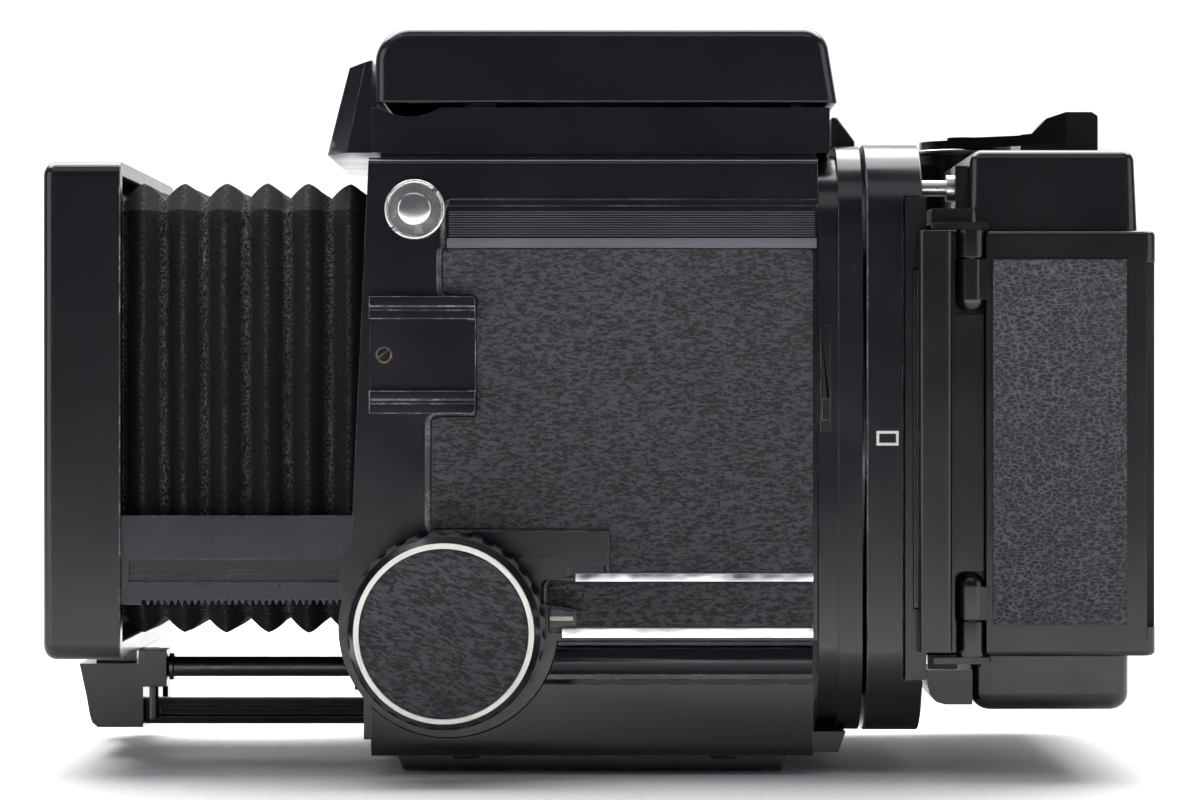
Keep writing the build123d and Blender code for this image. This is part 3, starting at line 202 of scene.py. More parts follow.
def scuffed(name, base):
    """Paint rubbed along its length by a sliding part: fine bright scratches on black."""
    s = Shader(name)
    streaks = s.noise(0.45, 3, 0.6, 0.4, s.coords((9.0, 1.0, 0.7)))
    rubbed = s.math("MULTIPLY", s.ramp(streaks, 0.56, 0.66), s.ramp(s.noise(7.0, 3), 0.4, 0.62, 0.1, 0.9))
    color = s.mix(rubbed, base, (0.060, 0.060, 0.070))
    return s.finish(color, s.ramp(streaks, 0.4, 0.7, 0.3, 0.45), s.bump(streaks, 0.05, 0.6))


def leather(name, base, grain, pitch=(1.0, 1.0, 1.0), tilt=0.0):
    """Leatherette in wavy rows or a close network: painted shade darkens its pits and a painted highlight
    lightens its ridges, which are also rubbed paler in patches.
    """
    s = Shader(name)
    place = s.coords(pitch, (0, radians(tilt), 0))
    if grain == "rows":
        coarse = s.ramp(s.noise(0.95, 1.6, 0.5, 0.7, place), 0.40, 0.58)
    else:
        edge = s.cell_edges(1.0, s.warped(place, 0.9, 1.1))
        ridge = s.ramp(edge, 0.17, 0.05)
        coarse = s.math("MULTIPLY", ridge, s.ramp(s.noise(0.8, 2, 0.6), 0.34, 0.58, 0.2, 1.0))
    fine = s.noise(0.3, 3, 0.6)
    height = s.math("ADD", s.math("MULTIPLY", coarse, 0.75), s.math("MULTIPLY", fine, 0.4))
    # Painted shade and highlight: the colour follows the grain's height, from dark pits to light ridges.
    color = s.mix(s.ramp(height, 0.15, 0.95), tuple(c * 0.16 for c in base), tuple(c * 1.65 for c in base))
    rubbed = s.math("MULTIPLY", s.ramp(s.noise(13.0, 4), 0.42, 0.72, 0.0, 0.45), coarse)
    color = s.mix(rubbed, color, tuple(c * 2.0 for c in base))
    patches = s.ramp(s.noise(8.0, 3), 0.66, 0.74)
    glue = s.math("MULTIPLY", patches, s.ramp(s.noise(0.5, 2), 0.5, 0.6, 0.0, 0.3))
    color = s.mix(glue, color, (0.05, 0.042, 0.03))
    normal = s.bump(height, 0.2, 0.75)
    return s.finish(color, s.ramp(height, 0.2, 1.0, 0.7, 0.44), normal, Specular_IOR_Level=0.5)


def cloth(name, base):
    """Coated bellows cloth: a matte grain, whitened in specks where the folds have rubbed."""
    s = Shader(name)
    ridge = s.attribute("ridge")
    grain = s.noise(0.5, 3, 0.7)
    color = s.mix(s.ramp(grain, 0.35, 0.7), tuple(c * 0.5 for c in base), tuple(c * 1.8 for c in base))
    valley, crest = s.ramp(ridge, 0.42, 0.1), s.ramp(ridge, 0.9, 1.0, 0.0, 0.4)
    specks = s.ramp(s.noise(0.55, 3, 0.8), 0.46, 0.62)
    rubbed = s.math("MULTIPLY", s.math("MAXIMUM", valley, crest), specks)
    rubbed = s.math("MULTIPLY", rubbed, s.ramp(s.noise(18.0, 2), 0.3, 0.6, 0.5, 1.0))
    color = s.mix(s.math("MULTIPLY", rubbed, 0.9), color, (0.17, 0.168, 0.17))
    dust = s.math("MULTIPLY", s.ramp(s.noise(0.3, 2, 0.6), 0.68, 0.75), s.ramp(s.noise(16.0, 2), 0.35, 0.6))
    color = s.mix(s.math("MULTIPLY", dust, 0.3), color, (0.2, 0.2, 0.19))
    normal = s.bump(grain, 0.22, 1.0)
    return s.finish(color, s.ramp(grain, 0.3, 0.7, 0.7, 0.85), normal, Specular_IOR_Level=0.16)


def metal(name, base, rough=(0.12, 0.25), brushed=(1.0, 1.0, 1.0), grain=0.6, tarnish=0.25, wave=0.0):
    """Bare metal: a fine grain or brushing, slow waves in the sheet, and dull tarnished patches."""
    s = Shader(name)
    fine = s.noise(grain, 3, 0.6, 0.0, s.coords(brushed))
    dull = s.ramp(s.noise(4.0, 4, 0.6), 0.45, 0.75)
    color = s.mix(s.math("MULTIPLY", dull, tarnish), base, tuple(c * 0.45 for c in base))
    roughness = s.math("ADD", s.ramp(fine, 0.3, 0.7, *rough), s.math("MULTIPLY", dull, 0.1))
    normal = s.bump(s.noise(9.0, 2), wave, 1.0) if wave else None
    normal = s.bump(fine, 0.008, 0.3, normal)
    return s.finish(color, roughness, normal, Metallic=1.0)


def glass(name, tint, rough):
    """Clear glass with faint smears."""
    s = Shader(name)
    smear = s.ramp(s.noise(7.0, 3), 0.4, 0.7, rough, rough + 0.06)
    color = s.mix(s.ramp(s.noise(10.0, 2), 0.3, 0.7), tint, tuple(c * 0.97 for c in tint))
    return s.finish(color, smear, None, Transmission_Weight=1.0, IOR=1.5)


def paint(name, base):
    """Opaque marking paint, slightly chipped."""
    s = Shader(name)
    color = s.mix(s.ramp(s.noise(0.5, 3), 0.62, 0.72), base, tuple(c * 0.5 for c in base))
    return s.finish(color, s.ramp(s.noise(0.8, 2), 0.3, 0.7, 0.4, 0.6), s.bump(s.noise(0.3, 2), 0.01, 0.3))


BLACK = (0.0040, 0.0042, 0.0068)
LEATHER = (0.0225, 0.0222, 0.0262)
M = {
    "enamel": enamel("black_enamel", BLACK),
    "scratched_enamel": enamel("scratched_enamel", BLACK, dust=1.0),
    "matte": enamel("matte_enamel", (0.0036, 0.0036, 0.0050), (0.2, 0.22), 0.7, 0.008),
    "plastic": enamel("black_moulding", (0.0042, 0.0042, 0.0052), (0.19, 0.25), 0.4, 0.01),
    "inner": enamel("inner_black", (0.0035, 0.0035, 0.0038), (0.6, 0.75), 0.1, 0.02),
    "rack": enamel("rack_blue_black", (0.0090, 0.0100, 0.0165), (0.24, 0.3), 0.3, 0.006),
    "scratched": scuffed("scratched_groove", (0.0022, 0.0024, 0.0040)),
    "rack_edge": worn_edge("rack_edge", (0.0100, 0.0110, 0.0170), (0.16, 0.16, 0.17), 0.9),
    # The two lighter edge materials below have bases several times lighter than the black paint: a painted
    # highlight along rounded edges, with real rubbed wear on top.
    "edge": worn_edge("worn_highlit_enamel_edge", (0.030, 0.030, 0.035), (0.34, 0.34, 0.35), 0.6),
    "soft_worn_highlit_edge": worn_edge("rubbed_highlit_edge", (0.018, 0.018, 0.021), (0.14, 0.14, 0.15), 0.6),
    "leather": leather("side_leather", LEATHER, "rows", (1.25, 1.0, 0.5)),
    "door_grain": leather("door_leather", tuple(c * 1.85 for c in LEATHER), "network", (1.3, 1.3, 0.72)),
    "knob_grain": leather("knob_leather", LEATHER, "rows", (1.55, 1.0, 0.52), 17.0),
    "cloth": cloth("bellows_cloth", (0.0062, 0.0062, 0.0074)),
    "chrome": metal("bright_chrome", (0.86, 0.87, 0.89), (0.03, 0.1), (30.0, 1.0, 1.0), 0.5, 0.1, 0.2),
    "stud_rim": metal("stud_rim", (0.80, 0.78, 0.74), (0.22, 0.3), (1.0, 1.0, 1.0), 1.2, 0.1),
    "stud_dish": metal("stud_dish", (0.34, 0.33, 0.31), (0.34, 0.42), (1.0, 1.0, 1.0), 0.8, 0.2),
    "stud_head": metal("stud_head", (0.66, 0.64, 0.61), (0.16, 0.22), (1.0, 1.0, 1.0), 1.2, 0.15),
    "polished": metal("polished_steel", (0.72, 0.71, 0.69), (0.08, 0.16), (1.0, 1.0, 1.0), 1.5, 0.15),
    "satin": metal("satin_steel", (0.46, 0.45, 0.43), (0.26, 0.36), (1.0, 1.0, 1.0), 1.2, 0.2),
    "dark_steel": metal("dark_steel", (0.13, 0.125, 0.12), (0.25, 0.4), (30.0, 1.0, 1.0), 0.5, 0.4),
    "black_steel": metal("blackened_steel", (0.020, 0.020, 0.021), (0.3, 0.42), (1.0, 1.0, 1.0), 0.5, 0.2),
    "brass": metal("aged_brass", (0.42, 0.27, 0.13), (0.3, 0.5), (1.0, 1.0, 1.0), 0.4, 0.5),
    "pale": metal("pale_anodised", (0.86, 0.84, 0.78), (0.42, 0.55), (1.0, 1.0, 1.0), 1.3, 0.12),
    "mirror": metal("mirror_silver", (0.88, 0.9, 0.92), (0.01, 0.03), (1.0, 1.0, 1.0), 4.0, 0.04),
    "lens": glass("clear_glass", (0.97, 0.98, 0.98), 0.02),
    "screen": glass("ground_glass", (0.93, 0.94, 0.93), 0.4),
    "white": paint("white_marking", (0.78, 0.78, 0.76)),
    "cream": paint("cream_marking", (0.62, 0.58, 0.47)),
    "grey": enamel("grey_band", (0.085, 0.084, 0.098), (0.34, 0.46), 0.3, 0.01),
    "rib": enamel("rib_crest", (0.050, 0.050, 0.058), (0.34, 0.46), 0.3, 0.01),
}


# ---------------------------------------------------------------- geometry helpers
def body_piece(obj, node, *replaced):
    """Ride on the node's body, and stand for the nodes it replaces, which are hidden."""
    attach(obj, NODE_BODY[node])
    if replaced:
        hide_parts(*replaced)
    return obj


def new_object(name, mesh):
    obj = bpy.data.objects.new(name, mesh)
    scene.collection.objects.link(obj)
    return obj


def apply_modifiers(obj):
    """Bake the object's modifiers into its mesh."""
    bpy.context.view_layer.update()
    evaluated = obj.evaluated_get(bpy.context.evaluated_depsgraph_get())
    mesh = bpy.data.meshes.new_from_object(evaluated)
    obj.modifiers.clear()
    obj.data = mesh


def clean(mesh_object, flat=1.0):
    """Weld the CAD mesh and merge its coplanar triangles."""
    bm = bmesh.new()
    bm.from_mesh(mesh_object.data)
    bmesh.ops.remove_doubles(bm, verts=bm.verts, dist=WELD)
    bmesh.ops.dissolve_limit(bm, angle_limit=radians(flat), verts=bm.verts, edges=bm.edges)
    bmesh.ops.recalc_face_normals(bm, faces=bm.faces)
    bm.to_mesh(mesh_object.data)
    bm.free()


def softened(node, main, edge=None, width=0.35, segments=3, angle=32, wide=None):
    """A copy of a CAD node with rounded edges; the edges take their own material.

    wide gives a test on an edge's middle point, and the larger width of the edges that pass it.
    """
    obj = new_object("skin_" + node, NODES[node].data.copy())
    obj.data.materials.clear()
    obj.data.materials.append(M[main])
    obj.data.materials.append(M[edge or main])
    obj.data.polygons.foreach_set("material_index", [0] * len(obj.data.polygons))
    clean(obj)
    bevel = obj.modifiers.new("bevel", "BEVEL")
    bevel.segments = segments
    bevel.miter_outer = "MITER_ARC"
    bevel.use_clamp_overlap = True
    bevel.material = 1
    if wide:
        test, widest = wide
        weights = obj.data.attributes.new("bevel_weight_edge", "FLOAT", "EDGE")
        bm = bmesh.new()
        bm.from_mesh(obj.data)
        for e, weight in zip(bm.edges, weights.data):
            sharp = len(e.link_faces) == 2 and e.calc_face_angle(0) > radians(angle)
            middle = (e.verts[0].co + e.verts[1].co) / 2 / MM
            weight.value = (1.0 if test(middle) else width / widest) if sharp else 0.0
        bm.free()
        bevel.limit_method = "WEIGHT"
        bevel.width = widest * MM
        bevel.segments = segments + 2
    else:
        bevel.limit_method = "ANGLE"
        bevel.angle_limit = radians(angle)
        bevel.width = width * MM
    apply_modifiers(obj)
    obj.data.shade_smooth()
    weighted = obj.modifiers.new("weighted", "WEIGHTED_NORMAL")
    weighted.weight = 80
    weighted.keep_sharp = False
    return body_piece(obj, node, node)


def repaint(obj, material, test):
    """Give a material to the faces whose middle (mm) and normal pass the test."""
    obj.data.materials.append(M[material])
    index = len(obj.data.materials) - 1
    for face in obj.data.polygons:
        if test(face.center / MM, face.normal):
            face.material_index = index


def turned(name, node, centre, profile, material, side=0, arc=(0, 2 * pi), steps=64):
    """A turned piece; profile is a closed list of radius and height in millimetres.

    Side 0 turns it about an upright axis at centre (x, y); side 1 or -1 about an axis along Y at
    centre (x, z), with its heights measured outwards on that side.
    """
    full = arc[1] - arc[0] > 2 * pi - 0.001
    bm = bmesh.new()
    rings = []
    for k in range(steps if full else steps + 1):
        angle = arc[0] + (arc[1] - arc[0]) * k / steps
        ring = []
        for r, h in profile:
            a, b = centre[0] + r * cos(angle), centre[1] + r * sin(angle)
            ring.append(bm.verts.new(Vector((a, side * h, b) if side else (a, b, h)) * MM))
        rings.append(ring)
    count = len(rings)
    for k in range(count if full else count - 1):
        ring, beyond = rings[k], rings[(k + 1) % count]
        for j in range(len(profile)):
            following = (j + 1) % len(profile)
            bm.faces.new((ring[j], ring[following], beyond[following], beyond[j]))
    if not full:
        bm.faces.new(rings[0])
        bm.faces.new(rings[-1][::-1])
    bmesh.ops.remove_doubles(bm, verts=bm.verts, dist=1e-7)
    bmesh.ops.recalc_face_normals(bm, faces=bm.faces)
    mesh = bpy.data.meshes.new(name)
    bm.to_mesh(mesh)
    bm.free()
    mesh.materials.append(M[material])
    for face in mesh.polygons:
        face.use_smooth = True
    obj = body_piece(new_object(name, mesh), node)
    weighted = obj.modifiers.new("weighted", "WEIGHTED_NORMAL")
    weighted.weight = 60
    return obj


def plain(node, main):
    """Keep the CAD node's own mesh and give it a material."""
    node_object = NODES[node]
    node_object.data.materials.clear()
    node_object.data.materials.append(M[main])


# ---------------------------------------------------------------- hard parts
# The bevels take a lighter edge paint: a painted highlight along each part's edges.
HARD = [
    # node, material, edge material, edge width in millimetres
    ("body_shell", "enamel", "edge", 0.5),
    ("left_side_cover", "enamel", "edge", 0.45),
    ("right_side_cover", "enamel", "edge", 0.45),
    ("base_cover", "enamel", "soft_worn_highlit_edge", 0.5),
    ("tripod_foot", "plastic", "soft_worn_highlit_edge", 0.5),
    ("rear_frame", "enamel", "soft_worn_highlit_edge", 0.6),
    ("revolving_adapter", "enamel", "soft_worn_highlit_edge", 0.8),
    ("finder_frame", "enamel", "soft_worn_highlit_edge", 0.4),
    ("finder_nose", "enamel", "soft_worn_highlit_edge", 0.6),
    ("finder_latch", "plastic", "soft_worn_highlit_edge", 0.3),
    ("adapter_catch", "plastic", "soft_worn_highlit_edge", 0.25),
    ("accessory_shoe", "enamel", "edge", 0.3),
    ("front_standard", "matte", "edge", 0.5),
    ("release_housing", "matte", "edge", 0.5),
    ("focus_lock_lever", "plastic", "soft_worn_highlit_edge", 0.25),
    ("cocking_lever", "plastic", "soft_worn_highlit_edge", 0.5),
    ("dark_slide", "plastic", "soft_worn_highlit_edge", 0.35),
    ("trim_strips", "chrome", "chrome", 0.15),
    ("lens_flange", "satin", "polished", 0.25),
    ("knob_rings", "pale", "pale", 0.2),
    ("release_rod", "black_steel", "dark_steel", 0.3),
]
for node, main, edge, width in HARD:
    softened(node, main, edge, width)


def crowned_lid():
    """The lid: broad soft shoulders on top, and along the lower rim a thin line of the lighter edge paint, a
    painted highlight with worn spots.
    """
    top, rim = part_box("hood_lid")[1].z / MM, 124.6
    shoulders = (lambda p: p.z > top - 0.6, 1.7)
    lid = softened("hood_lid", "scratched_enamel", "scratched_enamel", 0.35, wide=shoulders)
    # The rim line: a painted highlight in the lighter edge paint, with real rubbed wear.
    repaint(lid, "edge", lambda p, n: p.z < rim and 0.2 < abs(n.z) < 0.98)


def strap_studs():
    """Strap studs: a bright notched rim, a satin dish and a polished head."""
    low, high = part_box("strap_lugs")
    middle = (low + high) / 2 / MM
    outer = high.y / MM
    studs = softened("strap_lugs", "stud_dish", "stud_rim", 0.22, 3)

    def place(p):
        flat = Vector((p.x - middle.x, p.z - middle.z))
        return flat.length, flat.normalized()

    repaint(studs, "stud_head", lambda p, n: place(p)[0] < 3.35)

    def in_notch(p, n):
        radius, out = place(p)
        across = abs(n.x * out.y - n.z * out.x)
        return radius > 4.7 and across > 0.6

    # The notch walls take the dark inner paint: painted shade in the notches.
    repaint(studs, "inner", in_notch)
    notch, gap = radians(43), radians(6)
    bead_r, bead_half, head_r = 5.57 - 0.36, 0.36, 3.1
    rim = outer_face(middle, 5.2)
    bead = [(bead_r + bead_half * cos(pi * k / 6), rim + 0.3 * sin(pi * k / 6)) for k in range(7)]
    dome = [(0.0, outer - 0.3), (head_r, outer - 0.3)]
    dome += [(head_r * cos(pi / 2 * k / 8), outer - 0.12 + 0.55 * sin(pi / 2 * k / 8)) for k in range(9)]
    for side in (-1, 1):
        for half in (0, 1):
            start = notch + pi * half + gap
            turned(f"stud_rim_{side}_{half}", "strap_lugs", (middle.x, middle.z), bead, "stud_rim", side,
                   (start, start + pi - 2 * gap))
        turned(f"stud_head_{side}", "strap_lugs", (middle.x, middle.z), dome, "stud_head", side)


def outer_face(middle, radius):
    """How far out, in millimetres, the studs' rim stands at a radius."""
    reach = [abs(v.co.y) / MM for v in NODES["strap_lugs"].data.vertices
             if abs(Vector((v.co.x / MM - middle.x, v.co.z / MM - middle.z)).length - radius) < 0.5]
    return max(reach)


def fasteners():
    """Blackened screws, except the brass-rimmed one that holds the shoe."""
    screws = softened("body_fasteners", "black_steel", "dark_steel", 0.12, 2)
    in_shoe = [v.co / MM for v in NODES["body_fasteners"].data.vertices if v.co.z > 0.07]
    x = (min(p.x for p in in_shoe) + max(p.x for p in in_shoe)) / 2
    z = (min(p.z for p in in_shoe) + max(p.z for p in in_shoe)) / 2
    repaint(screws, "brass", lambda p, n: 0.95 < Vector((p.x - x, p.z - z)).length < 2.2)


def racks():
    """Blue-black racks whose long groove is darker and scratched."""
    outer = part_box("focus_racks")[1].y / MM
    bars_pair = softened("focus_racks", "rack", "rack_edge", 0.14, 2)
    repaint(bars_pair, "scratched", lambda p, n: outer - 1.0 < abs(p.y) < outer - 0.4)


def film_back():
    """Moulded case, door and lever, with broad soft corners."""
    slot_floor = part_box("back_door")[0].y / MM + 2.0
    softened("film_back_case", "plastic", "plastic", 0.45)
    door = softened("back_door", "plastic", "plastic", 0.4)
    repaint(door, "inner", lambda p, n: n.y < -0.9 and slot_floor < p.y < slot_floor + 2.5 and p.x > 100.0)
    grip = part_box("advance_lever")[1].z / MM - 3.4
    softened("advance_lever", "plastic", "plastic", 0.35, wide=(lambda p: p.z > grip, 1.0))


def cocking_rod():
    """A steel rod with a black end block."""
    block_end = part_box("cocking_rod")[0].x / MM + 6.0
    rod = softened("cocking_rod", "dark_steel", "dark_steel", 0.2)
    repaint(rod, "plastic", lambda p, n: p.x < block_end)


film_back()
cocking_rod()
crowned_lid()
strap_studs()
fasteners()
racks()

PLAIN = {
    "inner": ["bellows_front_frame", "bellows_rear_frame", "light_baffle", "mirror_carrier", "film_insert",
              "magnifier_frame", "hood_side_left", "hood_side_right", "hood_rear_panel",
              "supply_spool", "take_up_spool"],
    "satin": ["back_pins", "tripod_bushing", "focus_shaft", "flange_screws", "release_button",
              "release_lock_ring", "focus_pinions", "screen_frame", "pressure_plate"],
    "brass": ["shaft_bushes"],
    "mirror": ["mirror_glass"],
    "lens": ["magnifier_lens"],
    "screen": ["focusing_screen"],
}
for main, names in PLAIN.items():
    for node in names:
        plain(node, main)
# The knobs' bevels take the lighter soft edge paint, a painted highlight along their edges.
softened("focus_knobs", "plastic", "soft_worn_highlit_edge", 0.3, 2, 40)


# ---------------------------------------------------------------- leather panels
# fixed places at which the sway of the leather's rows is read, one for each axis
SWAY_SHIFTS = [Vector((9.3, 1.5, 7.9)), Vector((0.2, 0.4, 0.3)), Vector((6.3, 2.6, 4.7))]


def pebble(x, z, scale, tilt):
    """Height of the leather's slow swell under its grain, 0 to 1, in rows that run along the tilt."""
    c, t = cos(tilt), sin(tilt)
    place = Vector(((x * c + z * t) / (2.2 * scale), (z * c - x * t) / (0.95 * scale), 0.0))
    slow = place * 0.4
    place += 0.9 * Vector([noise.noise(slow + shift) for shift in SWAY_SHIFTS])
    height = noise.noise(place) + 0.35 * noise.noise(place * 2.3)
    return min(1.0, max(0.0, (height + 0.42) / 0.78))


GRID = 1.8 * MM  # the leather panels' first grid
GRID_CUTS = 4


def gridded(name, node, material, axes):
    """A panel's own object and its mesh, cut into a grid across the given axes."""
    obj = new_object(name, NODES[node].data.copy())
    obj.data.materials.clear()
    obj.data.materials.append(M[material])
    clean(obj)
    bm = bmesh.new()
    bm.from_mesh(obj.data)
    low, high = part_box(node)
    for axis in axes:
        normal = Vector((axis == 0, axis == 1, axis == 2))
        for k in range(1, int((high[axis] - low[axis]) / GRID) + 1):
            point = low.copy()
            point[axis] += k * GRID
            bmesh.ops.bisect_plane(bm, geom=bm.verts[:] + bm.edges[:] + bm.faces[:],
                                   plane_co=point, plane_no=normal)
    return obj, bm


def refined(bm, faces):
    """Cut the faces again, finely enough for a relief."""
    edges = list(dict.fromkeys(e for f in faces for e in f.edges))
    bmesh.ops.subdivide_edges(bm, edges=edges, cuts=GRID_CUTS, use_grid_fill=True)
    bm.normal_update()


def grained(node, material, scale=1.0, tilt=0.0):
    """A leather panel: the CAD outline, cut into a fine grid and given a real pebbled relief."""
    swell = 0.09
    obj, bm = gridded(node + "_grain", node, material, (0, 2))
    refined(bm, [f for f in bm.faces if f.normal.y * f.calc_center_median().y > 0 and abs(f.normal.y) > 0.9])
    rim = {v for f in bm.faces if abs(f.normal.y) < 0.5 for v in f.verts}
    for v in bm.verts:
        height = pebble(v.co.x / MM, v.co.z / MM, scale, radians(tilt))
        if v not in rim and v.normal.y * v.co.y > 0:
            v.co.y += (1 if v.co.y > 0 else -1) * (height - 1.0) * swell * MM
    bm.to_mesh(obj.data)
    bm.free()
    obj.data.shade_smooth()
    return body_piece(obj, node, node)


grained("side_leatherette", "leather")
grained("knob_leathers", "knob_grain", 1.05, 17.0)


def door_panels():
    """The door's leather: the end panel faces the left side, the rear panel faces backwards."""
    node, scale, swell = "door_leatherette", 1.15, 0.1
    obj, bm = gridded("door_leather_panels", node, "door_grain", (0, 1, 2))
    bm.normal_update()
    outward = [f for f in bm.faces if f.normal.y < -0.9 or f.normal.x > 0.9]
    refined(bm, [f for f in outward if f.calc_area() > 0.3 * GRID * GRID])
    for v in bm.verts:
        across = v.co.x if v.normal.y < -0.99 else v.co.y
        height = pebble(across / MM, v.co.z / MM, scale, 0.0)
        if v.normal.y < -0.99 or v.normal.x > 0.99:
            v.co -= v.normal * (1.0 - height) * swell * MM
    bm.to_mesh(obj.data)
    bm.free()
    obj.data.shade_smooth()
    body_piece(obj, node, node)


door_panels()


# ---------------------------------------------------------------- raised lips round the leather
def outer_loops(node, side):
    """Outlines, as (x, z), of a node's faces that look outwards on one side."""
    bm = bmesh.new()
    bm.from_mesh(NODES[node].data)
    bmesh.ops.remove_doubles(bm, verts=bm.verts, dist=WELD)
    bm.normal_update()
    faces = [f for f in bm.faces if f.normal.y * side > 0.9 and f.calc_center_median().y * side > 0]
    links = {}
    for face in faces:
        for loop in face.loops:
            edge = loop.edge
            if sum(f in faces for f in edge.link_faces) == 1:
                links[loop.vert.index] = (loop.link_loop_next.vert.index, loop.vert.co.copy())
    bm.free()
    loops = []
    while links:
        at = next(iter(links))
        points = []
        while at in links:
            at, place = links.pop(at)
            points.append((place.x / MM, place.z / MM))
        loops.append(points)
    return loops


def lip(name, points, side, y, shape, node, material, closed=False):
    """A soft ridge beside an outline, standing on the plane at y; shape is gap, radius and height."""
    gap, radius, height = shape
    bm = bmesh.new()
    rows, arc = [], 7
    last = len(points) - 1
    for k, here in enumerate(points):
        before = points[k - 1] if closed or k else here * 2 - points[1]
        after = points[(k + 1) % len(points)] if closed or k < last else here * 2 - points[k - 1]
        d0, d1 = (here - before).normalized(), (after - here).normalized()
        n0, n1 = Vector((d0.y, -d0.x)), Vector((d1.y, -d1.x))
        bisector = (n0 + n1).normalized()
        reach = 1 / max(0.5, bisector.dot(n0))
        row = []
        for j in range(arc + 1):
            angle = pi * j / arc
            place = here + bisector * (gap + radius - radius * cos(angle)) * reach
            out = y + height * sin(angle)
            row.append(bm.verts.new(Vector((place.x, side * out, place.y)) * MM))
        rows.append(row)
    for k in range(len(rows) if closed else last):
        row, beyond = rows[k], rows[(k + 1) % len(rows)]
        for j in range(arc):
            bm.faces.new((row[j], beyond[j], beyond[j + 1], row[j + 1]))
        bm.faces.new((row[arc], beyond[arc], beyond[0], row[0]))
    if not closed:
        bm.faces.new(rows[0])
        bm.faces.new(rows[-1][::-1])
    bmesh.ops.recalc_face_normals(bm, faces=bm.faces)
    mesh = bpy.data.meshes.new(name)
    bm.to_mesh(mesh)
    bm.free()
    mesh.materials.append(M[material])
    mesh.shade_smooth()
    return body_piece(new_object(name, mesh), node)


def open_runs(points, kept):
    """The runs of a closed outline whose segments pass the test on their middle point."""
    count = len(points)
    flags = [kept((points[k] + points[(k + 1) % count]) / 2) for k in range(count)]
    runs = []
    for start in range(count):
        if flags[start] and not flags[start - 1]:
            run = [points[start]]
            k = start
            while flags[k % count]:
                run.append(points[(k + 1) % count])
                k += 1
            runs.append(run)
    return runs


def recess_lips():
    """The rounded lip that the side covers raise round the leather and the ribbed band."""
    leather_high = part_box("side_leatherette")[1] / MM
    band_low, band_high = [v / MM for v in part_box("nameplates")]
    # Each lip takes the lighter soft edge paint, a painted highlight along the lip.
    shape = (0.12, 0.6, 0.55)
    for side, cover in ((-1, "left_side_cover"), (1, "right_side_cover")):
        number = 0
        for outline in outer_loops("side_leatherette", side):
            points = [Vector(p) for p in outline]
            area = sum(a.x * b.y - b.x * a.y for a, b in zip(points, points[1:] + points[:1]))
            if area < 0:
                points.reverse()
            for run in open_runs(points, lambda p: p.y < band_low.z - 0.5 and p.x < leather_high.x - 0.4):
                lip(f"{cover}_lip_{number}", run, side, COVER_FACE, shape, cover, "soft_worn_highlit_edge")
                number += 1
        band = [Vector((band_high.x, band_high.z + 0.3)), Vector((band_low.x + 1.2, band_high.z + 0.3)),
                Vector((band_low.x + 0.35, band_high.z)), Vector((band_low.x, band_high.z - 0.9)),
                Vector((band_low.x, band_low.z))]
        lip(f"{cover}_band_lip", band, side, COVER_FACE, shape, cover, "soft_worn_highlit_edge")


recess_lips()


# ---------------------------------------------------------------- bellows
def bellows_ring_point(half_y, low, high, corner, t):
    """A point at share t round a rectangle with cut corners, starting at its lower left."""
    ys, zs = half_y - corner, (high - low) / 2 - corner
    middle = (low + high) / 2
    starts = [(-half_y, -zs), (-half_y, zs), (-ys, zs + corner), (ys, zs + corner),
              (half_y, zs), (half_y, -zs), (ys, -zs - corner), (-ys, -zs - corner)]
    side = int(t * 8) % 8
    share = t * 8 - int(t * 8)
    a, b = Vector(starts[side]), Vector(starts[(side + 1) % 8])
    p = a.lerp(b, share)
    return p.x, middle + p.y


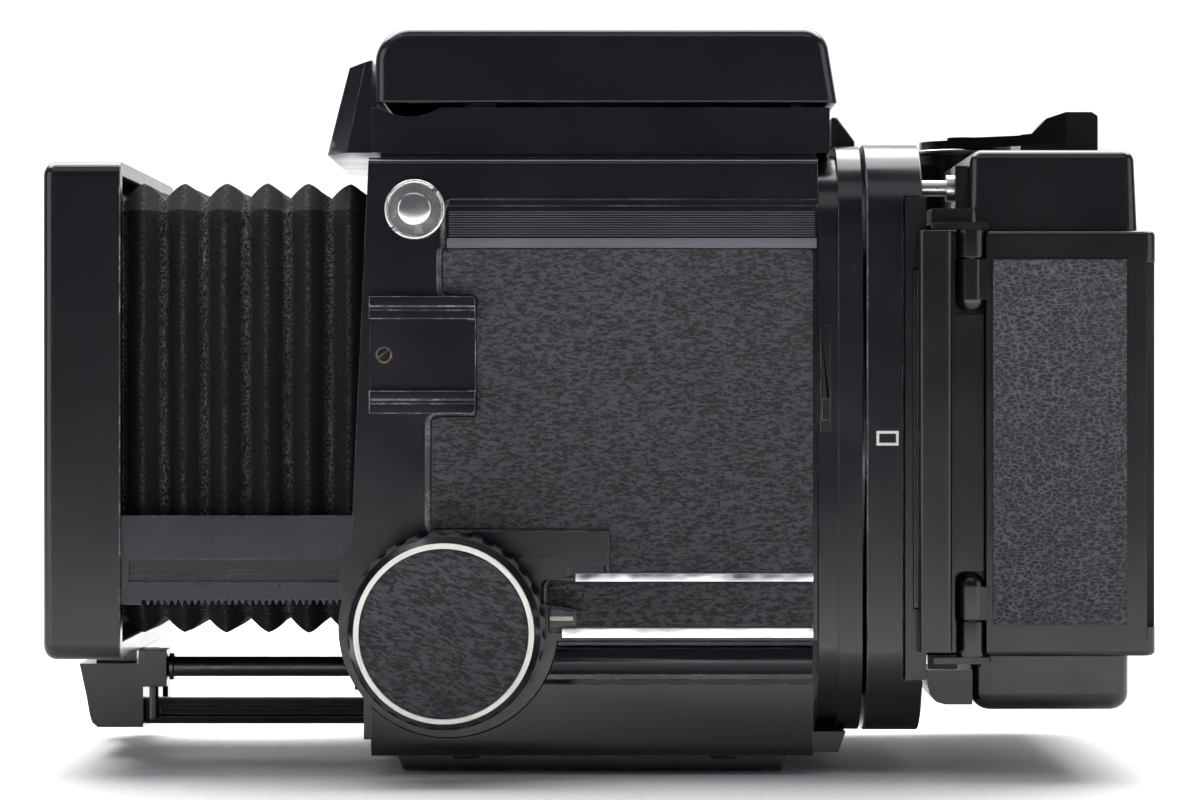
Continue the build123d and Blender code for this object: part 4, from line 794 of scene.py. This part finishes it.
def bellows():
    """The pleated tube: rounded folds whose corners are mitred, sagging a little between frames."""
    low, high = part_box("bellows")
    low, high = low / MM, high / MM
    pleats, drop, wall = 7, 3.3, 0.5
    along, side_steps = 26, 24
    length = high.x - low.x
    rows = pleats * along
    bm = bmesh.new()
    layer = bm.verts.layers.float.new("ridge")
    shells = []
    for inward in (0.0, wall):
        grid = []
        for i in range(rows + 1):
            u = i / rows
            phase = (u * pleats) % 1.0
            triangle = 1 - abs(2 * phase - 1)
            rounded = sin(pi / 2 * triangle)
            crest = 0.35 * triangle + 0.65 * rounded
            inset = drop * (1 - crest) + inward
            corner = 2.2 + 3.0 * crest
            ring = []
            for j in range(8 * side_steps):
                y, z = bellows_ring_point(high.y - inset, low.z + inset, high.z - inset, corner,
                                          j / (8 * side_steps))
                place = Vector((low.x + u * length, y, z))
                wave = noise.noise(Vector((u * 9.0, y * 0.045, z * 0.045)) + Vector((7, 3, 1)))
                inside = Vector((0, -y / 41.0, -(z - 68.0) / 42.0))
                place += inside * max(0.0, 0.35 * (wave + 0.4))
                fade = min(1.0, u * 12, (1 - u) * 12)
                place.x += 0.35 * fade * noise.noise(Vector((u * 4.0, y * 0.03, z * 0.03)))
                vert = bm.verts.new(place * MM)
                vert[layer] = crest
                ring.append(vert)
            grid.append(ring)
        shells.append(grid)
    count = 8 * side_steps
    for grid, outside in zip(shells, (True, False)):
        for i in range(rows):
            for j in range(count):
                quad = [grid[i][j], grid[i][(j + 1) % count], grid[i + 1][(j + 1) % count], grid[i + 1][j]]
                bm.faces.new(quad if outside else quad[::-1])
    for i in (0, rows):
        for j in range(count):
            quad = [shells[0][i][j], shells[0][i][(j + 1) % count],
                    shells[1][i][(j + 1) % count], shells[1][i][j]]
            bm.faces.new(quad[::-1] if i == 0 else quad)
    bmesh.ops.recalc_face_normals(bm, faces=bm.faces)
    mesh = bpy.data.meshes.new("bellows_cloth")
    bm.to_mesh(mesh)
    bm.free()
    mesh.materials.append(M["cloth"])
    mesh.shade_smooth()
    obj = new_object("bellows_cloth", mesh)
    body_piece(obj, "bellows", "bellows")
    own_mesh(obj)


bellows()


# ---------------------------------------------------------------- ribbed bands
def bars(name, node, boxes, material, bevel=0.04):
    """Small bevelled bars, each given by its limits on x, y and z in millimetres."""
    bm = bmesh.new()
    for x, y, z in boxes:
        made = bmesh.ops.create_cube(bm, size=1)["verts"]
        for v in made:
            v.co = Vector((x[0] + (v.co.x + 0.5) * (x[1] - x[0]), y[0] + (v.co.y + 0.5) * (y[1] - y[0]),
                           z[0] + (v.co.z + 0.5) * (z[1] - z[0]))) * MM
    bmesh.ops.bevel(bm, geom=bm.edges[:], offset=bevel * MM, segments=2, affect="EDGES")
    mesh = bpy.data.meshes.new(name)
    bm.to_mesh(mesh)
    bm.free()
    mesh.materials.append(M[material])
    return body_piece(new_object(name, mesh), node)


def ribbed_bands():
    """Each band: a dark plate with fine ribs, over a plain grey bar."""
    low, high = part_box("nameplates")
    low, high = low / MM, high / MM
    plates, ribs, bar = [], [], []
    bar_top, pitch = low.z + 1.85, 0.44
    for side in (-1, 1):
        def out(a, b):
            return (side * a, side * b) if side > 0 else (side * b, side * a)
        plates.append(((low.x, high.x), out(COVER_FACE, 49.85), (bar_top, high.z)))
        bar.append(((low.x, high.x), out(COVER_FACE, 50.2), (low.z, bar_top)))
        count = int((high.z - 0.6 - bar_top - 0.3) / pitch)
        for k in range(count):
            z = bar_top + 0.35 + k * pitch
            ribs.append(((low.x + 0.35, high.x - 0.35), out(49.8, 50.1), (z, z + 0.2)))
    first = bars("band_plates", "nameplates", plates, "enamel", 0.08)
    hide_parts("nameplates")
    bars("band_ribs", "nameplates", ribs, "rib", 0.06)
    bars("band_bars", "nameplates", bar, "grey", 0.12)


ribbed_bands()


# ---------------------------------------------------------------- small markings
def adapter_mark():
    """The outlined rectangle that shows which way round the film back is turned."""
    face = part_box("revolving_adapter")[0].y / MM
    y = (face - 0.03, face + 0.1)
    x0, x1, z0, z1, line = 51.9, 56.0, 61.3, 64.0, 0.5
    boxes = [
        ((x0, x1), y, (z1 - line, z1)), ((x0, x1), y, (z0, z0 + line)),
        ((x0, x0 + line), y, (z0 + line, z1 - line)), ((x1 - line, x1), y, (z0 + line, z1 - line)),
    ]
    bars("format_mark", "revolving_adapter", boxes, "white", 0.02)


def lock_line():
    """The cream index line along the focus lock's tab."""
    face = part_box("focus_lock_lever")[0].y / MM
    line = ((-8.3, -4.0), (face - 0.03, face + 0.2), (29.2, 30.0))
    bars("focus_lock_line", "focus_lock_lever", [line], "cream", 0.02)


def joint_place(name):
    """A joint's position in millimetres."""
    joint = next(j for j in frame["record"]["behaviour"]["joints"] if j["name"] == name)
    return [v / MM for v in joint["pos_m"]]


def winding_dial():
    """The satin ring round the foot of the winding lever."""
    x, y, foot = joint_place("advance_stroke")
    low, top, inner, outer = foot + 0.9, foot + 2.05, 8.7, 9.95
    profile = [(inner, low), (inner, top), (outer - 0.25, top), (outer, top - 0.25), (outer, low)]
    turned("winding_dial", "film_back_case", (x, y), profile, "satin")


def hinge_seal():
    """The dark felt that closes the gap above the lower hinge ledge."""
    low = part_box("film_back_case")[0] / MM
    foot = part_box("back_door")[0].z / MM
    felt = ((61.2, 66.5), (low.y + 1.0, low.y + 4.0), (foot - 2.4, foot + 0.2))
    bars("hinge_seal", "film_back_case", [felt], "inner", 0.1)


def hinge_barrels():
    """The rounded barrels of the door's hinge: a length on the case and a domed one on the door."""
    x, y, _ = joint_place("door_swing")
    radius, skin, chamfer = 2.68, 2.2, 0.22
    ends = (("upper", (95.8, 101.05), 95.6, 88.2), ("lower", (22.35, 29.1), 29.3, 35.4))
    for end, fixed, base, dome in ends:
        low, high = fixed
        tube = [
            (skin, low), (radius - chamfer, low), (radius, low + chamfer),
            (radius, high - chamfer), (radius - chamfer, high), (skin, high),
        ]
        turned("case_barrel_" + end, "film_back_case", (x, y), tube, "plastic")
        way = 1 if dome > base else -1
        angles = [pi / 2 * k / 10 for k in range(11)]
        outer = [(radius * cos(a), dome + way * radius * sin(a)) for a in angles]
        outer[-1] = (0.0, outer[-1][1])
        domed = [(skin, base), (radius - chamfer, base), (radius, base + way * chamfer)] + outer
        domed += [(0.0, dome + way * (radius - 0.1)), (skin, dome)]
        turned("door_barrel_" + end, "back_door", (x, y), domed, "plastic")


hinge_barrels()
hinge_seal()
winding_dial()
adapter_mark()
lock_line()


# ---------------------------------------------------------------- stage, lights and camera
def backdrop():
    """A pale floor that curves up into a wall behind the camera body."""
    width, front, bend_start, bend_radius, height = 3.0, -2.2, 0.9, 0.6, 2.6
    profile = [(front, 0.0), (bend_start, 0.0)]
    steps = 16
    for k in range(1, steps + 1):
        angle = pi / 2 * k / steps
        profile.append((bend_start + bend_radius * sin(angle), bend_radius * (1 - cos(angle))))
    profile.append((bend_start + bend_radius, height))
    bm = bmesh.new()
    rows = [[bm.verts.new((x, y, z)) for y, z in profile] for x in (-width, width)]
    for k in range(len(profile) - 1):
        bm.faces.new((rows[0][k], rows[1][k], rows[1][k + 1], rows[0][k + 1]))
    mesh = bpy.data.meshes.new("backdrop")
    bm.to_mesh(mesh)
    bm.free()
    mesh.shade_smooth()
    s = Shader("pale_paper")
    color = s.mix(s.ramp(s.noise(1.1, 3, 0.7), 0.3, 0.7), (0.70, 0.70, 0.705), (0.88, 0.88, 0.885))
    mesh.materials.append(s.finish(color, s.ramp(s.noise(3.0, 2), 0.3, 0.7, 0.45, 0.55), None))
    new_object("backdrop", mesh)


def area_light(name, place, target, size, power, spread=180):
    """A soft box at place, facing the target."""
    data = bpy.data.lights.new(name, "AREA")
    data.spread = radians(spread)
    data.shape = "RECTANGLE"
    data.size, data.size_y = size
    data.energy = power
    obj = bpy.data.objects.new(name, data)
    scene.collection.objects.link(obj)
    obj.location = place
    obj.rotation_euler = (Vector(target) - Vector(place)).to_track_quat("-Z", "Y").to_euler()


def studio():
    """A dark room with a bright backdrop: a large soft box above, and weak fill from the sides."""
    world = bpy.data.worlds.new("studio")
    scene.world = world
    world.use_nodes = True
    world.node_tree.nodes["Background"].inputs["Color"].default_value = (0.78, 0.83, 1.0, 1)
    world.node_tree.nodes["Background"].inputs["Strength"].default_value = 0.15
    middle = (0, 0, 0.06)
    area_light("top_box", (0.0, 0.34, 0.87), middle, (1.5, 0.85), 27)
    area_light("left_panel", (-0.95, -0.42, 0.3), middle, (0.7, 0.7), 2.6)
    area_light("right_panel", (0.95, -0.42, 0.3), middle, (0.7, 0.7), 2.2)
    area_light("front_box", (-0.08, -0.42, 0.72), (0, -0.16, 0.0), (0.9, 0.3), 0.8)
    area_light("floor_light", (0.0, -0.37, 0.35), (0.0, -0.37, 0.0), (1.2, 0.16), 4.1, 40)
    area_light("wall_light", (0.0, 0.75, 1.5), (0, 1.3, 0.3), (2.8, 0.5), 26)
    scene.view_settings.view_transform = "Standard"


def photo_camera():
    """Level with the middle of the camera body, square to its left side."""
    data = bpy.data.cameras.new("photo_camera")
    data.lens = 119.2
    data.sensor_width = 36.0
    data.clip_end = 20
    camera = bpy.data.objects.new("photo_camera", data)
    scene.collection.objects.link(camera)
    camera.location = (0.93 * MM, -784.5 * MM, 69.7 * MM)
    camera.rotation_euler = (radians(90), 0, 0)
    scene.camera = camera


backdrop()
studio()
photo_camera()
